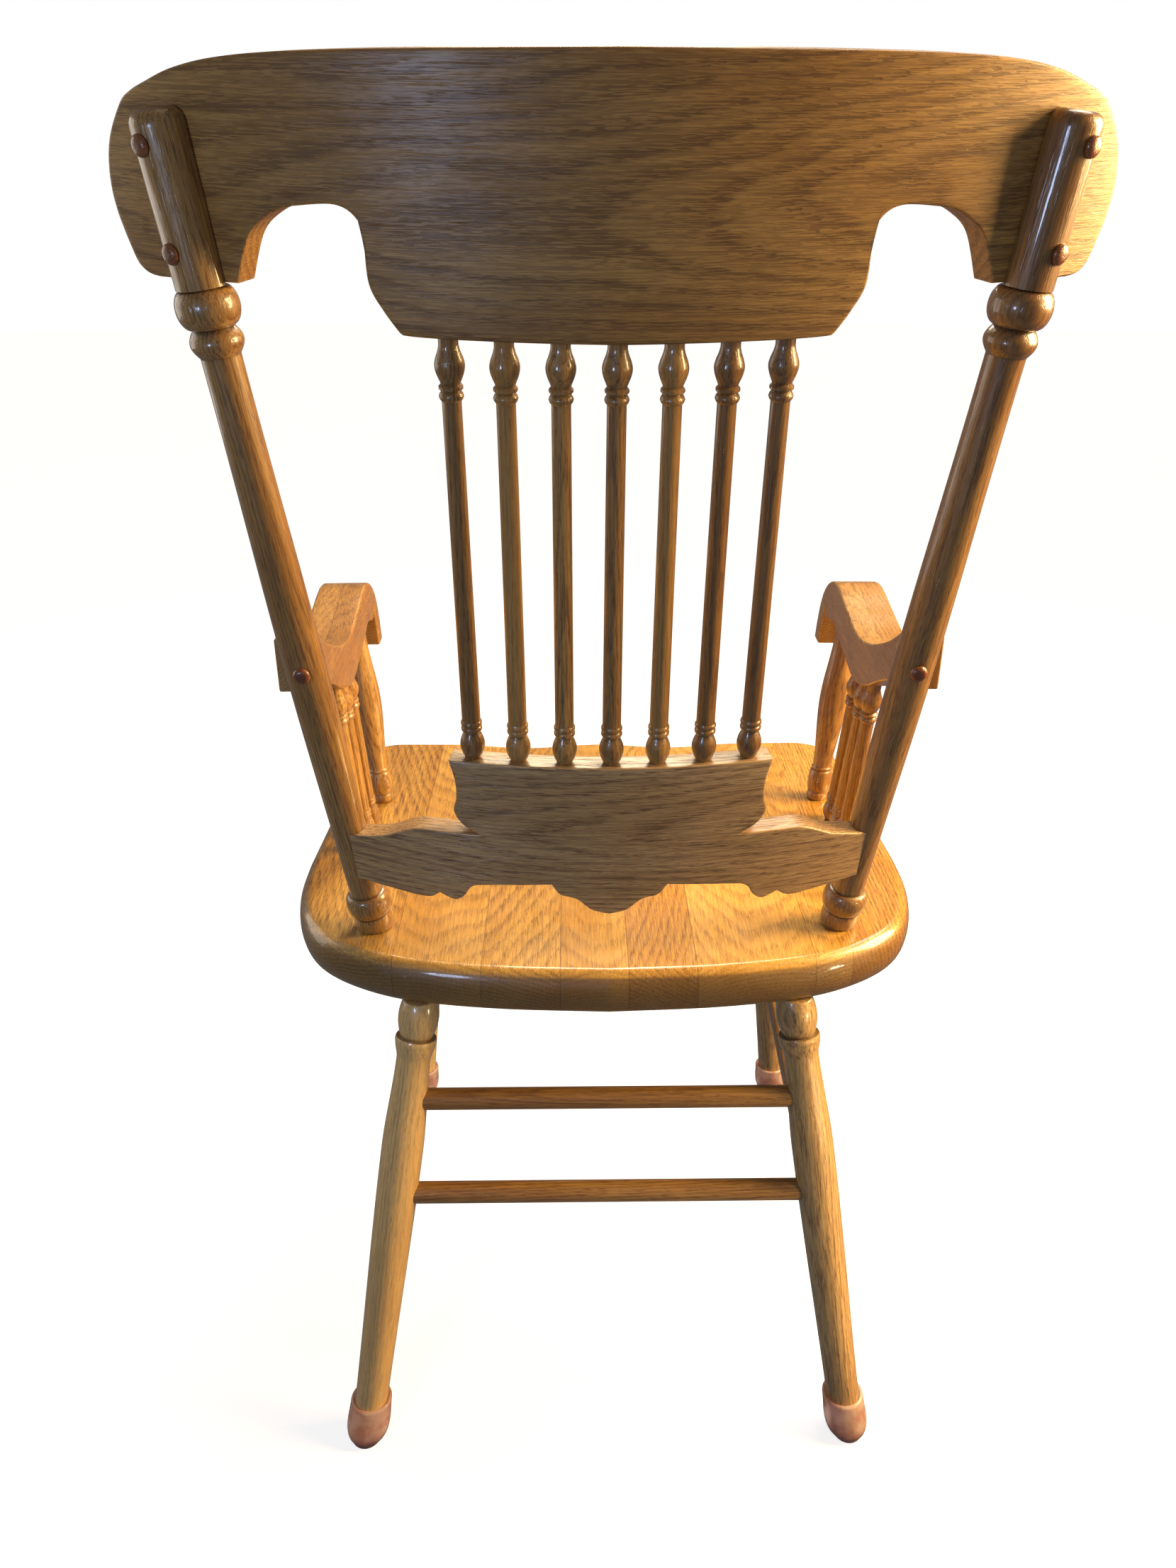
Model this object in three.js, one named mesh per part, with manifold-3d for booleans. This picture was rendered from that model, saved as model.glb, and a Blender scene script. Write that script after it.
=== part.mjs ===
// A captain's chair in golden oak, seen in millimetres with +Z up and the sitter facing -Y.
// A thick plank seat stands on four raked, turned legs joined by dowel stretchers. Two turned posts
// carry a bent, lobed crest rail and a bent, scrolled lower rail with seven turned spindles between them.
// Sawn arms with a rolled front run from the posts to turned arm posts, over three spindles a side.
import * as THREE from "three";
import Module from "manifold-3d";
import { TessellateModifier } from "three/addons/modifiers/TessellateModifier.js";
import { mergeVertices } from "three/addons/utils/BufferGeometryUtils.js";

// Fits
const fitClearance = 0.3; // a tenon in its socket, a coped end at what it meets, a shoulder on its seat
const tenonClearance = 0.45; // round the tenons of legs and posts, which go in at a slant
const endClearance = 0.6; // past the end of a tenon or a screw
const cutOverrun = 6; // how far a cutting tool runs past the face that it cuts
const levelToolReach = 1200; // more than the chair measures in any direction
const weldDistance = 0.001; // points closer than this are one point

// Seat: a plank glued up from boards, with a rounded edge and two thigh scoops
const seatHeight = 457;
const seatThickness = 40;
const seatHalfWidth = 281;
const seatRearReach = 230;
const seatFrontReach = 251;
const seatFrontNarrowing = 8; // on each side, from the widest point to the front corners
const seatFrontCornerRadius = 42;
const seatUpperNose = 5.5; // how far the edge draws in at the top face
const seatLowerNose = 10; // and at the underside
const seatScoopDepth = 4.5;
const seatScoopLength = 190;
const seatScoopHalfWidth = 84;
const seatScoopOffset = 82; // from the middle of the seat to the middle of each scoop
const seatFrontHalfWidth = seatHalfWidth - seatFrontNarrowing;
const seatFrontRunHalf = seatFrontHalfWidth - seatFrontCornerRadius;
const seatUnderside = seatHeight - seatThickness;
// Half of the rear outline, from the middle of the rear edge to the widest point: shares of the half
// width and of the rear reach.
const seatRearOutlineShares = [
  [0, 1],
  [0.32, 0.976],
  [0.584, 0.922],
  [0.754, 0.839],
  [0.883, 0.717],
  [0.954, 0.557],
  [0.993, 0.348],
  [1, 0.13],
];
const seatRearSteps = 12; // steps round half of the outline: rear, flank, corner and front
const seatFlankSteps = 2;
const seatCornerSteps = 4;
const seatFrontSteps = 5;
const seatNoseSteps = 2;
const seatTopRingShares = [0.88, 0.69, 0.44];

// Legs: where each axis meets the underside of the seat, in from its edges, and how far out the foot is
const rearLegInset = 124.4; // from the side of the seat
const rearLegSetback = 33.7; // from the rear of the seat
const rearLegSplay = 63.4; // sideways, from head to foot
const rearLegRake = 96.7; // rearwards
const frontLegInset = 98;
const frontLegSetback = 101.6; // from the front of the seat
const frontLegSplay = 40;
const frontLegRake = 35.6; // forwards
const rearLegHeadX = seatHalfWidth - rearLegInset;
const rearLegHeadY = seatRearReach - rearLegSetback;
const rearLegFootX = rearLegHeadX + rearLegSplay;
const rearLegFootY = rearLegHeadY + rearLegRake;
const frontLegHeadX = seatHalfWidth - frontLegInset;
const frontLegHeadY = frontLegSetback - seatFrontReach;
const frontLegFootX = frontLegHeadX + frontLegSplay;
const frontLegFootY = frontLegHeadY - frontLegRake;
// The turning of a leg, its lengths measured upright
const legAnkleRadius = 14.3;
const legSwellHeight = 242;
const legSwellRadius = 18;
const legNeckDrop = 54; // below the seat
const legNeckRadius = 14.9;
const legCollarDrop = 41.5;
const legCollarRadius = 17;
const legCollarRise = 0.75; // how far the round of the collar stands out
const legGrooveDrop = 35.5;
const legGrooveRadius = 14.6;
const legBallRadius = 17.2;
const legBallTopRadius = 14.2;
const legTenonRadius = 10;
const legTenonLength = 25;
const legSides = 9;

// Leg caps: clear cups pushed over the feet, each with a felt pad under it
const feltThickness = 3;
const feltRadius = 13;
const capRimHeight = 39;
const capRadius = 20.5;
const capRimRadius = 18.4;
const capBellyHeight = 19;
const capFootRadius = 11.5;
const capFloorThickness = 4;
const capBellySteps = 2;
const capSides = 10;

// Stretchers: plain dowels in bored sockets
const stretcherRadius = 9.4;
const upperStretcherDrop = 92; // from the underside of the seat to the axis
const stretcherSpacing = 86;
const sideStretcherDrop = 43; // the side ones sit this much lower, so that the sockets stay apart
const stretcherEndInset = 4; // from the leg's axis to the end of the dowel
const stretcherSides = 8;
const upperStretcherHeight = seatUnderside - upperStretcherDrop;
const lowerStretcherHeight = upperStretcherHeight - stretcherSpacing;

// Back: rake and bend shared by both rails
const backLeanShare = 0.151; // how far it leans back, as a share of its rise
const backInset = 40.2; // from the rear of the seat to where the slope of the back meets its top
const backBaseY = seatRearReach - backInset;
const railThickness = 19;
const railBendRadius = 605; // of the rear faces
const railEdgeRound = 1.6;
const railFacetLength = 84;
const railDivideSteps = 12;

// Crest rail: heights are measured up the slope of the back from the seat
const crestOverhang = 47; // on each side, round the bend, past the width of the seat
const crestHalfLength = seatHalfWidth + crestOverhang;
const crestBottom = 484.9;
const crestHeight = 151.5;
// Half of the outline in smooth runs that meet at corners, from the middle of the top edge round the
// ear and the arch to the middle of the bottom edge: shares of the half length and of the height.
const crestRunShares = [
  [
    [0, 1],
    [0.32, 0.993],
    [0.567, 0.978],
    [0.707, 0.955],
    [0.802, 0.918],
    [0.869, 0.865],
    [0.93, 0.799],
    [0.982, 0.654],
    [1, 0.529],
    [0.997, 0.397],
    [0.973, 0.238],
    [0.936, 0.166],
  ],
  [
    [0.936, 0.166],
    [0.729, 0.171],
  ],
  [
    [0.729, 0.171],
    [0.689, 0.355],
    [0.637, 0.439],
    [0.597, 0.468],
  ],
  [
    [0.597, 0.468],
    [0.512, 0.482],
    [0.472, 0.443],
    [0.46, 0.37],
    [0.457, 0.205],
    [0.433, 0.106],
    [0.405, 0.026],
  ],
  [
    [0.405, 0.026],
    [0.357, 0.011],
    [0, 0],
  ],
];
const crestRunSteps = [9, 1, 2, 7, 2];

// Lower rail
const lowerRailInset = 68; // from the side of the seat to its end, before that is coped
const lowerRailHalfLength = seatHalfWidth - lowerRailInset;
const lowerRailBottom = 45.3;
const lowerRailHeight = 139.3;
// The same way round: block, undercut, wing, end, scroll, cove and pendant
const lowerRailRunShares = [
  [
    [0, 1],
    [0.575, 1],
  ],
  [
    [0.575, 1],
    [0.556, 0.87],
    [0.556, 0.755],
    [0.568, 0.673],
    [0.54, 0.59],
    [0.478, 0.526],
  ],
  [
    [0.478, 0.526],
    [0.634, 0.522],
    [0.732, 0.511],
    [0.84, 0.436],
    [0.93, 0.4],
    [1, 0.378],
  ],
  [
    [1, 0.378],
    [0.984, 0.075],
  ],
  [
    [0.984, 0.075],
    [0.845, 0.052],
    [0.7, 0.032],
    [0.646, 0.077],
  ],
  [
    [0.646, 0.077],
    [0.59, 0.04],
    [0.552, 0.07],
    [0.516, 0.15],
    [0.45, 0.173],
    [0.216, 0.206],
  ],
  [
    [0.216, 0.206],
    [0.183, 0.136],
    [0.122, 0.106],
    [0.066, 0.03],
    [0, 0],
  ],
];
const lowerRailRunSteps = [1, 5, 5, 1, 4, 6, 4];
const railTenonRadius = 4.5;
const railTenonShare = 0.25; // its height on the end, as a share of the rail's height
const railTenonStop = 5; // from the end of the tenon to that of the rail before it is coped
const railTenonRoot = 30; // the tenon starts this far in from the same end

// Back spindles
const backSpindleCount = 7;
const backSpindlePitchShare = 0.1643; // of the lower rail's half length
const backSpindleTenon = 15;

// Shared turning of the spindles: acorn, waist and two rings at each end of a plain shaft
const spindleNeckRadius = 5.2;
const spindleAcornRadius = 9.3;
const spindleAcornLength = 20;
const spindleAcornRiseShare = 0.42;
const spindleWaistRadius = 7;
const spindleWaistLength = 3;
const spindleRingRadius = 7.75;
const spindleRingLength = 3.5;
const spindleWideRingLength = 5;
const spindleShaftTopRadius = 6.2;
const spindleShaftFootRadius = 6.8;
const spindleFootBulbRadius = 9.2;
const spindleFootBulbLength = 23;
const spindleFootNeckRadius = 5.6;
const spindleNeckLength = 3;
const spindleSides = 7;

// Back posts: where the axis leaves the seat and how it leans, as shares of its rise
const postInset = 82; // from the side of the seat
const postFootStandoff = 6.4; // at the seat, from the middle of the lower rail forwards
const postLapStandoff = 4.9; // at the lap, from the rear face of the crest rearwards
const postSplayShare = 0.11268;
const lapRise = 555; // from the seat to the middle of the lap
const postFootX = seatHalfWidth - postInset;
const postFootY = backBaseY - bendDepth(postFootX) - postFootStandoff;
const lapX = postFootX + lapRise * postSplayShare;
const lapLean = lapRise * backLeanShare;
const lapY = backBaseY + railThickness / 2 - bendDepth(lapX) + lapLean + postLapStandoff;
const postRakeShare = (lapY - postFootY) / lapRise;
const postTenonRadius = 10;
const postTenonLength = 26;
const postFootRingLength = 16;
const postFootRingRadius = 16.2;
const postFootRingEdgeShare = 0.93; // the radius at the edges of the ring, as a share of that at its middle
const postFootBallLength = 22;
const postFootBallRadius = 18.8;
const postFootNeckRadius = 13.5;
const postSwellLength = 202;
const postSwellRadius = 15.3;
const postTaperLength = 235.6;
const postWristRadius = 13;
const postUpperRingLength = 17.4;
const postUpperRingRadius = 17.2;
const postUpperBallLength = 24;
const postUpperBallRadius = 20.2;
const postLapLength = 97;
const postLapRadius = 16.5;
const postTopRound = 8;
const postSides = 10;
const lapShoulderGap = 1.5; // between the shoulder of the lap and the ear of the crest
const lapAngle = Math.asin(lapX / railBendRadius); // how far the lap faces outwards

// Arms: the inner face runs in towards the back as it goes rearwards
const armScrewRise = 247; // from the seat to the screw through the post
const armRearStandoff = 24.8; // from the axis of the post forwards to the end of the outline below
const armFrontSetback = 48; // from the front of the seat to the front end
const armInset = 54.5; // from the side of the seat to the inner face, half way along the chair
const armToeInShare = 0.0345; // how far it runs in, as a share of its run rearwards
const armLipRise = 142; // from the seat to the lip of the rolled front
const armRise = 122; // from the lip to the top of the rear end
const armWidth = 44;
const armRearWidth = 31;
const armTaperRun = 170; // the length at the rear over which it thins
const armEdgeRound = 2.2;
const armRearY = postFootY + postRakeShare * armScrewRise - armRearStandoff;
const armFrontY = armFrontSetback - seatFrontReach;
const armTaperStartY = armRearY - armTaperRun;
const armInnerOffset = seatHalfWidth - armInset;
const armLowest = seatHeight + armLipRise;
// The side of the arm in smooth runs: top, lip, inside of the roll, underside, rear end. Shares of the
// length, from the rear end to the front, and of the rise.
const armRunShares = [
  [
    [0, 1],
    [0.083, 0.869],
    [0.187, 0.742],
    [0.303, 0.631],
    [0.427, 0.575],
    [0.565, 0.623],
    [0.675, 0.676],
    [0.749, 0.69],
    [0.826, 0.643],
    [0.895, 0.533],
    [0.945, 0.377],
    [0.978, 0.19],
    [1, 0],
  ],
  [
    [1, 0],
    [0.942, 0],
  ],
  [
    [0.942, 0],
    [0.915, 0.18],
    [0.89, 0.32],
    [0.882, 0.385],
  ],
  [
    [0.882, 0.385],
    [0.845, 0.318],
    [0.79, 0.35],
    [0.735, 0.378],
    [0.66, 0.33],
    [0.55, 0.285],
    [0.44, 0.235],
    [0.36, 0.26],
    [0.26, 0.355],
    [0.165, 0.485],
    [0.05, 0.625],
  ],
  [
    [0.05, 0.625],
    [0, 0.66],
  ],
];
const armRunSteps = [11, 1, 2, 9, 1];
const armReachToPost = 22; // the blank runs on into the post before its end is coped

// Arm posts
const armPostFootInset = 54; // from the side of the seat
const armPostHeadInset = 37;
const armPostSetback = 154; // of the foot, from the front of the seat
const armPostRake = 6; // forwards, from foot to head
const armPostFootX = seatHalfWidth - armPostFootInset;
const armPostHeadX = seatHalfWidth - armPostHeadInset;
const armPostFootY = armPostSetback - seatFrontReach;
const armPostHeadY = armPostFootY - armPostRake;
const armPostTenonRadius = 8;
const armPostTenonLength = 16;
const armPostFootRingLength = 9;
const armPostFootRingRadius = 10.6;
const armPostFootRingEdgeShare = 0.9;
const armPostFootBulbLength = 24;
const armPostFootBulbRadius = 12;
const armPostAnkleRadius = 9.6;
const armPostAnkleLength = 4;
const armPostLowerRadius = 11.6;
const armPostSwellLength = 92;
const armPostSwellRadius = 14.3;
const armPostTaperLength = 42;
const armPostWristRadius = 10.2;
const armPostSides = 8;

// Arm spindles: their feet behind the arm post's foot, and their heads behind its head
const armSpindleFootInset = 48.5; // from the side of the seat
const armSpindleHeadInset = 44.5;
const armSpindleFootX = seatHalfWidth - armSpindleFootInset;
const armSpindleHeadX = seatHalfWidth - armSpindleHeadInset;
const armSpindleFootSetbacks = [49, 78, 107];
const armSpindleHeadSetbacks = [95, 123, 150];
const armSpindleTenon = 13;

// Screws and the turned plugs that hide them
const plugHeadRadius = 6.35;
const plugHeadHeight = 3.2;
const plugShankRadius = 4.7;
const plugShankLength = 7;
const plugSides = 7;
const screwShankRadius = 2.2;
const screwHeadRadius = 4.2;
const screwHeadHeight = 2.6;
const screwTipRadius = 0.55;
const screwSides = 5;
const counterboreDepth = 8.5;
const crestScrewRises = [587, 530]; // above the seat
const crestScrewLength = 24;
const crestScrewTurn = 0.147; // radians further out than the lap
const armScrewLength = 52;
const armScrewDipShare = 0.12; // how far it falls, as a share of its run forwards
const armScrewCantShare = 0.1; // and how far it runs outwards

const oakColour = 0xb9782e;
const plugColour = 0x8a4a22;
const siliconeColour = 0xa88a7c;
const feltColour = 0x7a2f2c;
const steelColour = 0x9a9a98;

// How far forward the bend brings a place on the rails, from where their middle is
function bendDepth(across) {
  return railBendRadius - Math.sqrt(railBendRadius ** 2 - across ** 2);
}

const upright = new THREE.Vector3(0, 0, 1);
const sides = [
  ["left", -1],
  ["right", 1],
];

const wasm = await Module();
wasm.setup();

const chair = new THREE.Group();
const baseGroup = new THREE.Group();
const backGroup = new THREE.Group();
const armGroup = new THREE.Group();
chair.add(baseGroup, backGroup, armGroup);

// Finishes
const oak = () => new THREE.MeshStandardMaterial({ color: oakColour, roughness: 0.3, metalness: 0 });
const plugOak = () => new THREE.MeshStandardMaterial({ color: plugColour, roughness: 0.28, metalness: 0 });
const silicone = () =>
  new THREE.MeshStandardMaterial({ color: siliconeColour, roughness: 0.35, metalness: 0 });
const felt = () => new THREE.MeshStandardMaterial({ color: feltColour, roughness: 0.95, metalness: 0 });
const steel = () => new THREE.MeshStandardMaterial({ color: steelColour, roughness: 0.35, metalness: 1 });

function addPiece(group, name, geometry, material) {
  const piece = new THREE.Mesh(geometry, material);
  piece.name = name;
  group.add(piece);
  return piece;
}

// Solids for the joints: each piece has at most one, in the chair's frame, and it is written back at the end
const solids = new Map();

function makeSolid(mesh) {
  mesh.updateWorldMatrix(true, false);
  const source = mesh.geometry.index ? mesh.geometry.toNonIndexed() : mesh.geometry;
  const bare = new THREE.BufferGeometry();
  bare.setAttribute("position", source.getAttribute("position").clone());
  bare.applyMatrix4(mesh.matrixWorld);
  const welded = mergeVertices(bare, weldDistance);
  return new wasm.Manifold(
    new wasm.Mesh({
      numProp: 3,
      vertProperties: welded.attributes.position.array,
      triVerts: new Uint32Array(welded.index.array),
    }),
  );
}

function solidOf(mesh) {
  if (!solids.has(mesh)) {
    solids.set(mesh, makeSolid(mesh));
  }
  return solids.get(mesh);
}

function cut(mesh, ...tools) {
  for (const tool of tools) {
    solids.set(mesh, solidOf(mesh).subtract(makeSolid(tool)));
  }
}

function join(mesh, ...pieces) {
  for (const piece of pieces) {
    solids.set(mesh, solidOf(mesh).add(makeSolid(piece)));
  }
}

function writeBackSolids() {
  for (const [mesh, solid] of solids) {
    const made = solid.getMesh();
    const geometry = new THREE.BufferGeometry();
    geometry.setAttribute("position", new THREE.BufferAttribute(Float32Array.from(made.vertProperties), 3));
    geometry.setIndex(Array.from(made.triVerts));
    geometry.applyMatrix4(mesh.matrixWorld.clone().invert());
    geometry.computeVertexNormals();
    mesh.geometry = geometry;
  }
}

// The profile of a turned piece, built up feature by feature from its foot
class Turning {
  constructor(radius) {
    this.points = [new THREE.Vector2(radius, 0)];
  }

  get end() {
    return this.points[this.points.length - 1];
  }

  // A straight or tapered run, or a square shoulder where the length is zero
  taper(length, radius) {
    this.points.push(new THREE.Vector2(radius, this.end.y + length));
    return this;
  }

  // A bead, or a cove where the radius is the smaller one: half a wave out from the present radius
  bead(length, radius, steps = 4) {
    const { x, y } = this.end;
    for (let step = 1; step <= steps; step++) {
      const share = step / steps;
      const swell = (radius - x) * Math.sin(Math.PI * share);
      this.points.push(new THREE.Vector2(x + swell, y + length * share));
    }
    return this;
  }

  // A smooth change of radius that starts and ends level
  ease(length, radius, steps = 4) {
    const { x, y } = this.end;
    for (let step = 1; step <= steps; step++) {
      const share = step / steps;
      const change = ((radius - x) * (1 - Math.cos(Math.PI * share))) / 2;
      this.points.push(new THREE.Vector2(x + change, y + length * share));
    }
    return this;
  }

  // A quarter round over the end
  roundEnd(size, steps = 3) {
    const { x, y } = this.end;
    for (let step = 1; step <= steps; step++) {
      const angle = (Math.PI / 2) * (step / steps);
      this.points.push(
        new THREE.Vector2(x - size * (1 - Math.cos(angle)), y + size * Math.sin(angle)),
      );
    }
    return this;
  }

  geometry(segments, grow = 0) {
    const skin = this.points.map((point) => new THREE.Vector2(point.x + grow, point.y));
    const foot = new THREE.Vector2(0, this.points[0].y);
    const head = new THREE.Vector2(0, this.end.y);
    return new THREE.LatheGeometry([foot, ...skin, head], segments).rotateX(Math.PI / 2);
  }
}

// A plain round bar from its own origin upwards
function bar(radius, length, segments) {
  return new Turning(radius).taper(length, radius).geometry(segments);
}

// Stands a piece on a point, with its axis towards another
function aim(mesh, foot, head) {
  mesh.position.copy(foot);
  mesh.quaternion.setFromUnitVectors(upright, head.clone().sub(foot).normalize());
  return mesh;
}

// A round bar between two points, run on past each by its own amount
function barBetween(radius, foot, head, segments, pastFoot = 0, pastHead = 0) {
  const along = head.clone().sub(foot).normalize();
  const start = foot.clone().addScaledVector(along, -pastFoot);
  const length = foot.distanceTo(head) + pastFoot + pastHead;
  return aim(new THREE.Mesh(bar(radius, length, segments)), start, head);
}

// The half space above or below a level, as a tool wide enough for any piece of the chair
function levelTool(height, direction) {
  const tool = new THREE.Mesh(new THREE.BoxGeometry(levelToolReach, levelToolReach, levelToolReach));
  tool.position.z = height + (direction * levelToolReach) / 2;
  return tool;
}

function pointAtHeight(foot, head, height) {
  const share = (height - foot.z) / (head.z - foot.z);
  return foot.clone().lerp(head, share);
}

// Points along smooth runs that meet at corners, in the two sizes that their shares follow
function tracedRuns(runShares, runSteps, acrossSize, alongSize, baseAcross, baseAlong) {
  const traced = [];
  runShares.forEach((run, index) => {
    const knots = run.map(
      ([across, along]) =>
        new THREE.Vector2(baseAcross + across * acrossSize, baseAlong + along * alongSize),
    );
    const points = new THREE.SplineCurve(knots).getPoints(runSteps[index]);
    traced.push(...(index === 0 ? points : points.slice(1)));
  });
  return traced;
}

// Seat: its outline from the middle of the rear edge, down one side, along the front and back up
function makeSeatRim() {
  const rear = seatRearOutlineShares.map(
    ([across, along]) => new THREE.Vector2(across * seatHalfWidth, along * seatRearReach),
  );
  const flankEnd = new THREE.Vector2(seatFrontHalfWidth, seatFrontCornerRadius - seatFrontReach);
  const corner = new THREE.Vector2(seatFrontHalfWidth, -seatFrontReach);
  const frontStart = new THREE.Vector2(seatFrontRunHalf, -seatFrontReach);
  const frontMiddle = new THREE.Vector2(0, -seatFrontReach);
  const half = [
    ...new THREE.SplineCurve(rear).getSpacedPoints(seatRearSteps),
    ...new THREE.LineCurve(rear.at(-1), flankEnd).getPoints(seatFlankSteps).slice(1),
    ...new THREE.QuadraticBezierCurve(flankEnd, corner, frontStart).getPoints(seatCornerSteps).slice(1),
    ...new THREE.LineCurve(frontStart, frontMiddle).getPoints(seatFrontSteps).slice(1),
  ];
  const otherHalf = half.slice(1, -1).reverse();
  return [...half, ...otherHalf.map((point) => new THREE.Vector2(-point.x, point.y))];
}

// How far the top face dips at a place: two lobes that deepen towards the front edge
function scoopDip(across, along) {
  const lobe = (Math.abs(across) - seatScoopOffset) / seatScoopHalfWidth;
  const ramp = THREE.MathUtils.smoothstep(-along, seatFrontReach - seatScoopLength, seatFrontReach);
  const width = Math.abs(lobe) < 1 ? Math.cos((Math.PI / 2) * lobe) ** 2 : 0;
  return seatScoopDepth * width * ramp;
}

// A disc of unit radius, its rings drawn out to the outline and its rim rounded
function makeSeatGeometry() {
  const middle = seatUnderside + seatThickness / 2;
  const profile = [new THREE.Vector2(0, seatUnderside)];
  for (let step = -seatNoseSteps; step <= seatNoseSteps; step++) {
    const rise = Math.sin((Math.PI / 2) * (step / seatNoseSteps));
    profile.push(new THREE.Vector2(1, middle + (rise * seatThickness) / 2));
  }
  seatTopRingShares.forEach((share) => profile.push(new THREE.Vector2(share, seatHeight)));
  profile.push(new THREE.Vector2(0, seatHeight));
  const rim = makeSeatRim();
  const geometry = new THREE.LatheGeometry(profile, rim.length).rotateX(Math.PI / 2);
  const place = geometry.getAttribute("position");
  for (let i = 0; i < place.count; i++) {
    const share = Math.min(1, Math.hypot(place.getX(i), place.getY(i)));
    const step = Math.floor(i / profile.length) % rim.length;
    const rise = (place.getZ(i) - middle) / (seatThickness / 2);
    const nose = rise > 0 ? seatUpperNose : seatLowerNose;
    const inset = nose * (1 - Math.sqrt(Math.max(0, 1 - rise * rise)));
    const edge = rim[step];
    const reach = (1 - inset / edge.length()) * share;
    const across = -edge.x * reach;
    const along = edge.y * reach;
    const dip = rise > 0 ? scoopDip(across, along) * rise : 0;
    place.setXYZ(i, across, along, place.getZ(i) - dip);
  }
  return geometry;
}

const seat = addPiece(baseGroup, "seat", makeSeatGeometry(), oak());

// Legs
function makeLegTurning() {
  return new Turning(legAnkleRadius)
    .ease(legSwellHeight, legSwellRadius, 3)
    .ease(seatUnderside - legNeckDrop - legSwellHeight, legNeckRadius, 2)
    .ease(legNeckDrop - legCollarDrop, legCollarRadius, 2)
    .bead(legCollarDrop - legGrooveDrop, legCollarRadius + legCollarRise, 2)
    .taper(0, legGrooveRadius)
    .bead(legGrooveDrop, legBallRadius, 3)
    .taper(cutOverrun, legBallTopRadius);
}

// Each leg: cut level under the cap's floor height and under the seat, with a tenon into the seat
const capFloor = feltThickness + fitClearance + capFloorThickness;
const legs = [];

function addLeg(name, footX, footY, headX, headY) {
  const foot = new THREE.Vector3(footX, footY, 0);
  const head = new THREE.Vector3(headX, headY, seatUnderside);
  const slant = foot.distanceTo(head) / seatUnderside;
  const turning = makeLegTurning();
  const leg = addPiece(baseGroup, name, turning.geometry(legSides).scale(1, 1, slant), oak());
  aim(leg, foot, head);
  cut(leg, levelTool(seatUnderside - fitClearance, 1), levelTool(capFloor + fitClearance, -1));
  const tenonRoot = pointAtHeight(foot, head, seatUnderside - legGrooveDrop / 2);
  join(leg, barBetween(legTenonRadius, tenonRoot, head, legSides, 0, legTenonLength));
  cut(
    seat,
    barBetween(
      legTenonRadius + tenonClearance,
      head,
      pointAtHeight(foot, head, seatHeight),
      legSides,
      cutOverrun,
      legTenonLength + fitClearance - head.distanceTo(pointAtHeight(foot, head, seatHeight)),
    ),
  );
  legs.push({ name, leg, foot, head, slant });
  return { foot, head };
}

const legAxes = {};
for (const [side, sign] of sides) {
  legAxes[`rear_${side}`] = addLeg(
    `rear_leg_${side}`,
    sign * rearLegFootX,
    rearLegFootY,
    sign * rearLegHeadX,
    rearLegHeadY,
  );
  legAxes[`front_${side}`] = addLeg(
    `front_leg_${side}`,
    sign * frontLegFootX,
    frontLegFootY,
    sign * frontLegHeadX,
    frontLegHeadY,
  );
}

// Caps and pads: each cap follows the slant of its leg, but its rim and floor stay level
function makeCapTurning() {
  const base = feltThickness + fitClearance;
  const turning = new Turning(capFootRadius);
  const bellyRise = capBellyHeight - base;
  for (let step = 1; step <= capBellySteps; step++) {
    const angle = (Math.PI / 2) * (step / capBellySteps);
    turning.points.push(
      new THREE.Vector2(
        capFootRadius + (capRadius - capFootRadius) * Math.sin(angle),
        bellyRise * (1 - Math.cos(angle)),
      ),
    );
  }
  return turning.ease(capRimHeight - capBellyHeight, capRimRadius, 2);
}

for (const { name, foot, head, slant } of legs) {
  const place = name.replace("_leg", "");
  const capBase = feltThickness + fitClearance;
  const lean = new THREE.Matrix4();
  const perRise = head.clone().sub(foot).divideScalar(head.z - foot.z);
  lean.set(1, 0, perRise.x, 0, 0, 1, perRise.y, 0, 0, 0, 1, 0, 0, 0, 0, 1);
  const capShape = makeCapTurning().geometry(capSides).applyMatrix4(lean);
  const cap = addPiece(baseGroup, `leg_cap_${place}`, capShape, silicone());
  cap.position.copy(pointAtHeight(foot, head, capBase));
  const hollow = aim(
    new THREE.Mesh(makeLegTurning().geometry(legSides, fitClearance).scale(1, 1, slant)),
    foot,
    head,
  );
  const hollowSolid = makeSolid(hollow).subtract(makeSolid(levelTool(capFloor, -1)));
  solids.set(cap, solidOf(cap).subtract(hollowSolid));
  const pad = addPiece(
    baseGroup,
    `felt_pad_${place}`,
    new Turning(feltRadius).taper(feltThickness, feltRadius).geometry(capSides),
    felt(),
  );
  pad.position.set(foot.x, foot.y, 0);
}

// Stretchers
function addStretcher(name, fromLeg, toLeg, height) {
  const start = pointAtHeight(legAxes[fromLeg].foot, legAxes[fromLeg].head, height);
  const end = pointAtHeight(legAxes[toLeg].foot, legAxes[toLeg].head, height);
  const along = end.clone().sub(start).normalize();
  const first = start.clone().addScaledVector(along, stretcherEndInset);
  const last = end.clone().addScaledVector(along, -stretcherEndInset);
  const dowel = barBetween(stretcherRadius, first, last, stretcherSides);
  dowel.name = name;
  dowel.material = oak();
  baseGroup.add(dowel);
  const socket = barBetween(
    stretcherRadius + fitClearance,
    first,
    last,
    stretcherSides,
    fitClearance,
    fitClearance,
  );
  for (const { name: legName, leg } of legs) {
    if (legName === fromLeg.replace("_", "_leg_") || legName === toLeg.replace("_", "_leg_")) {
      cut(leg, socket);
    }
  }
}

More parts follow.
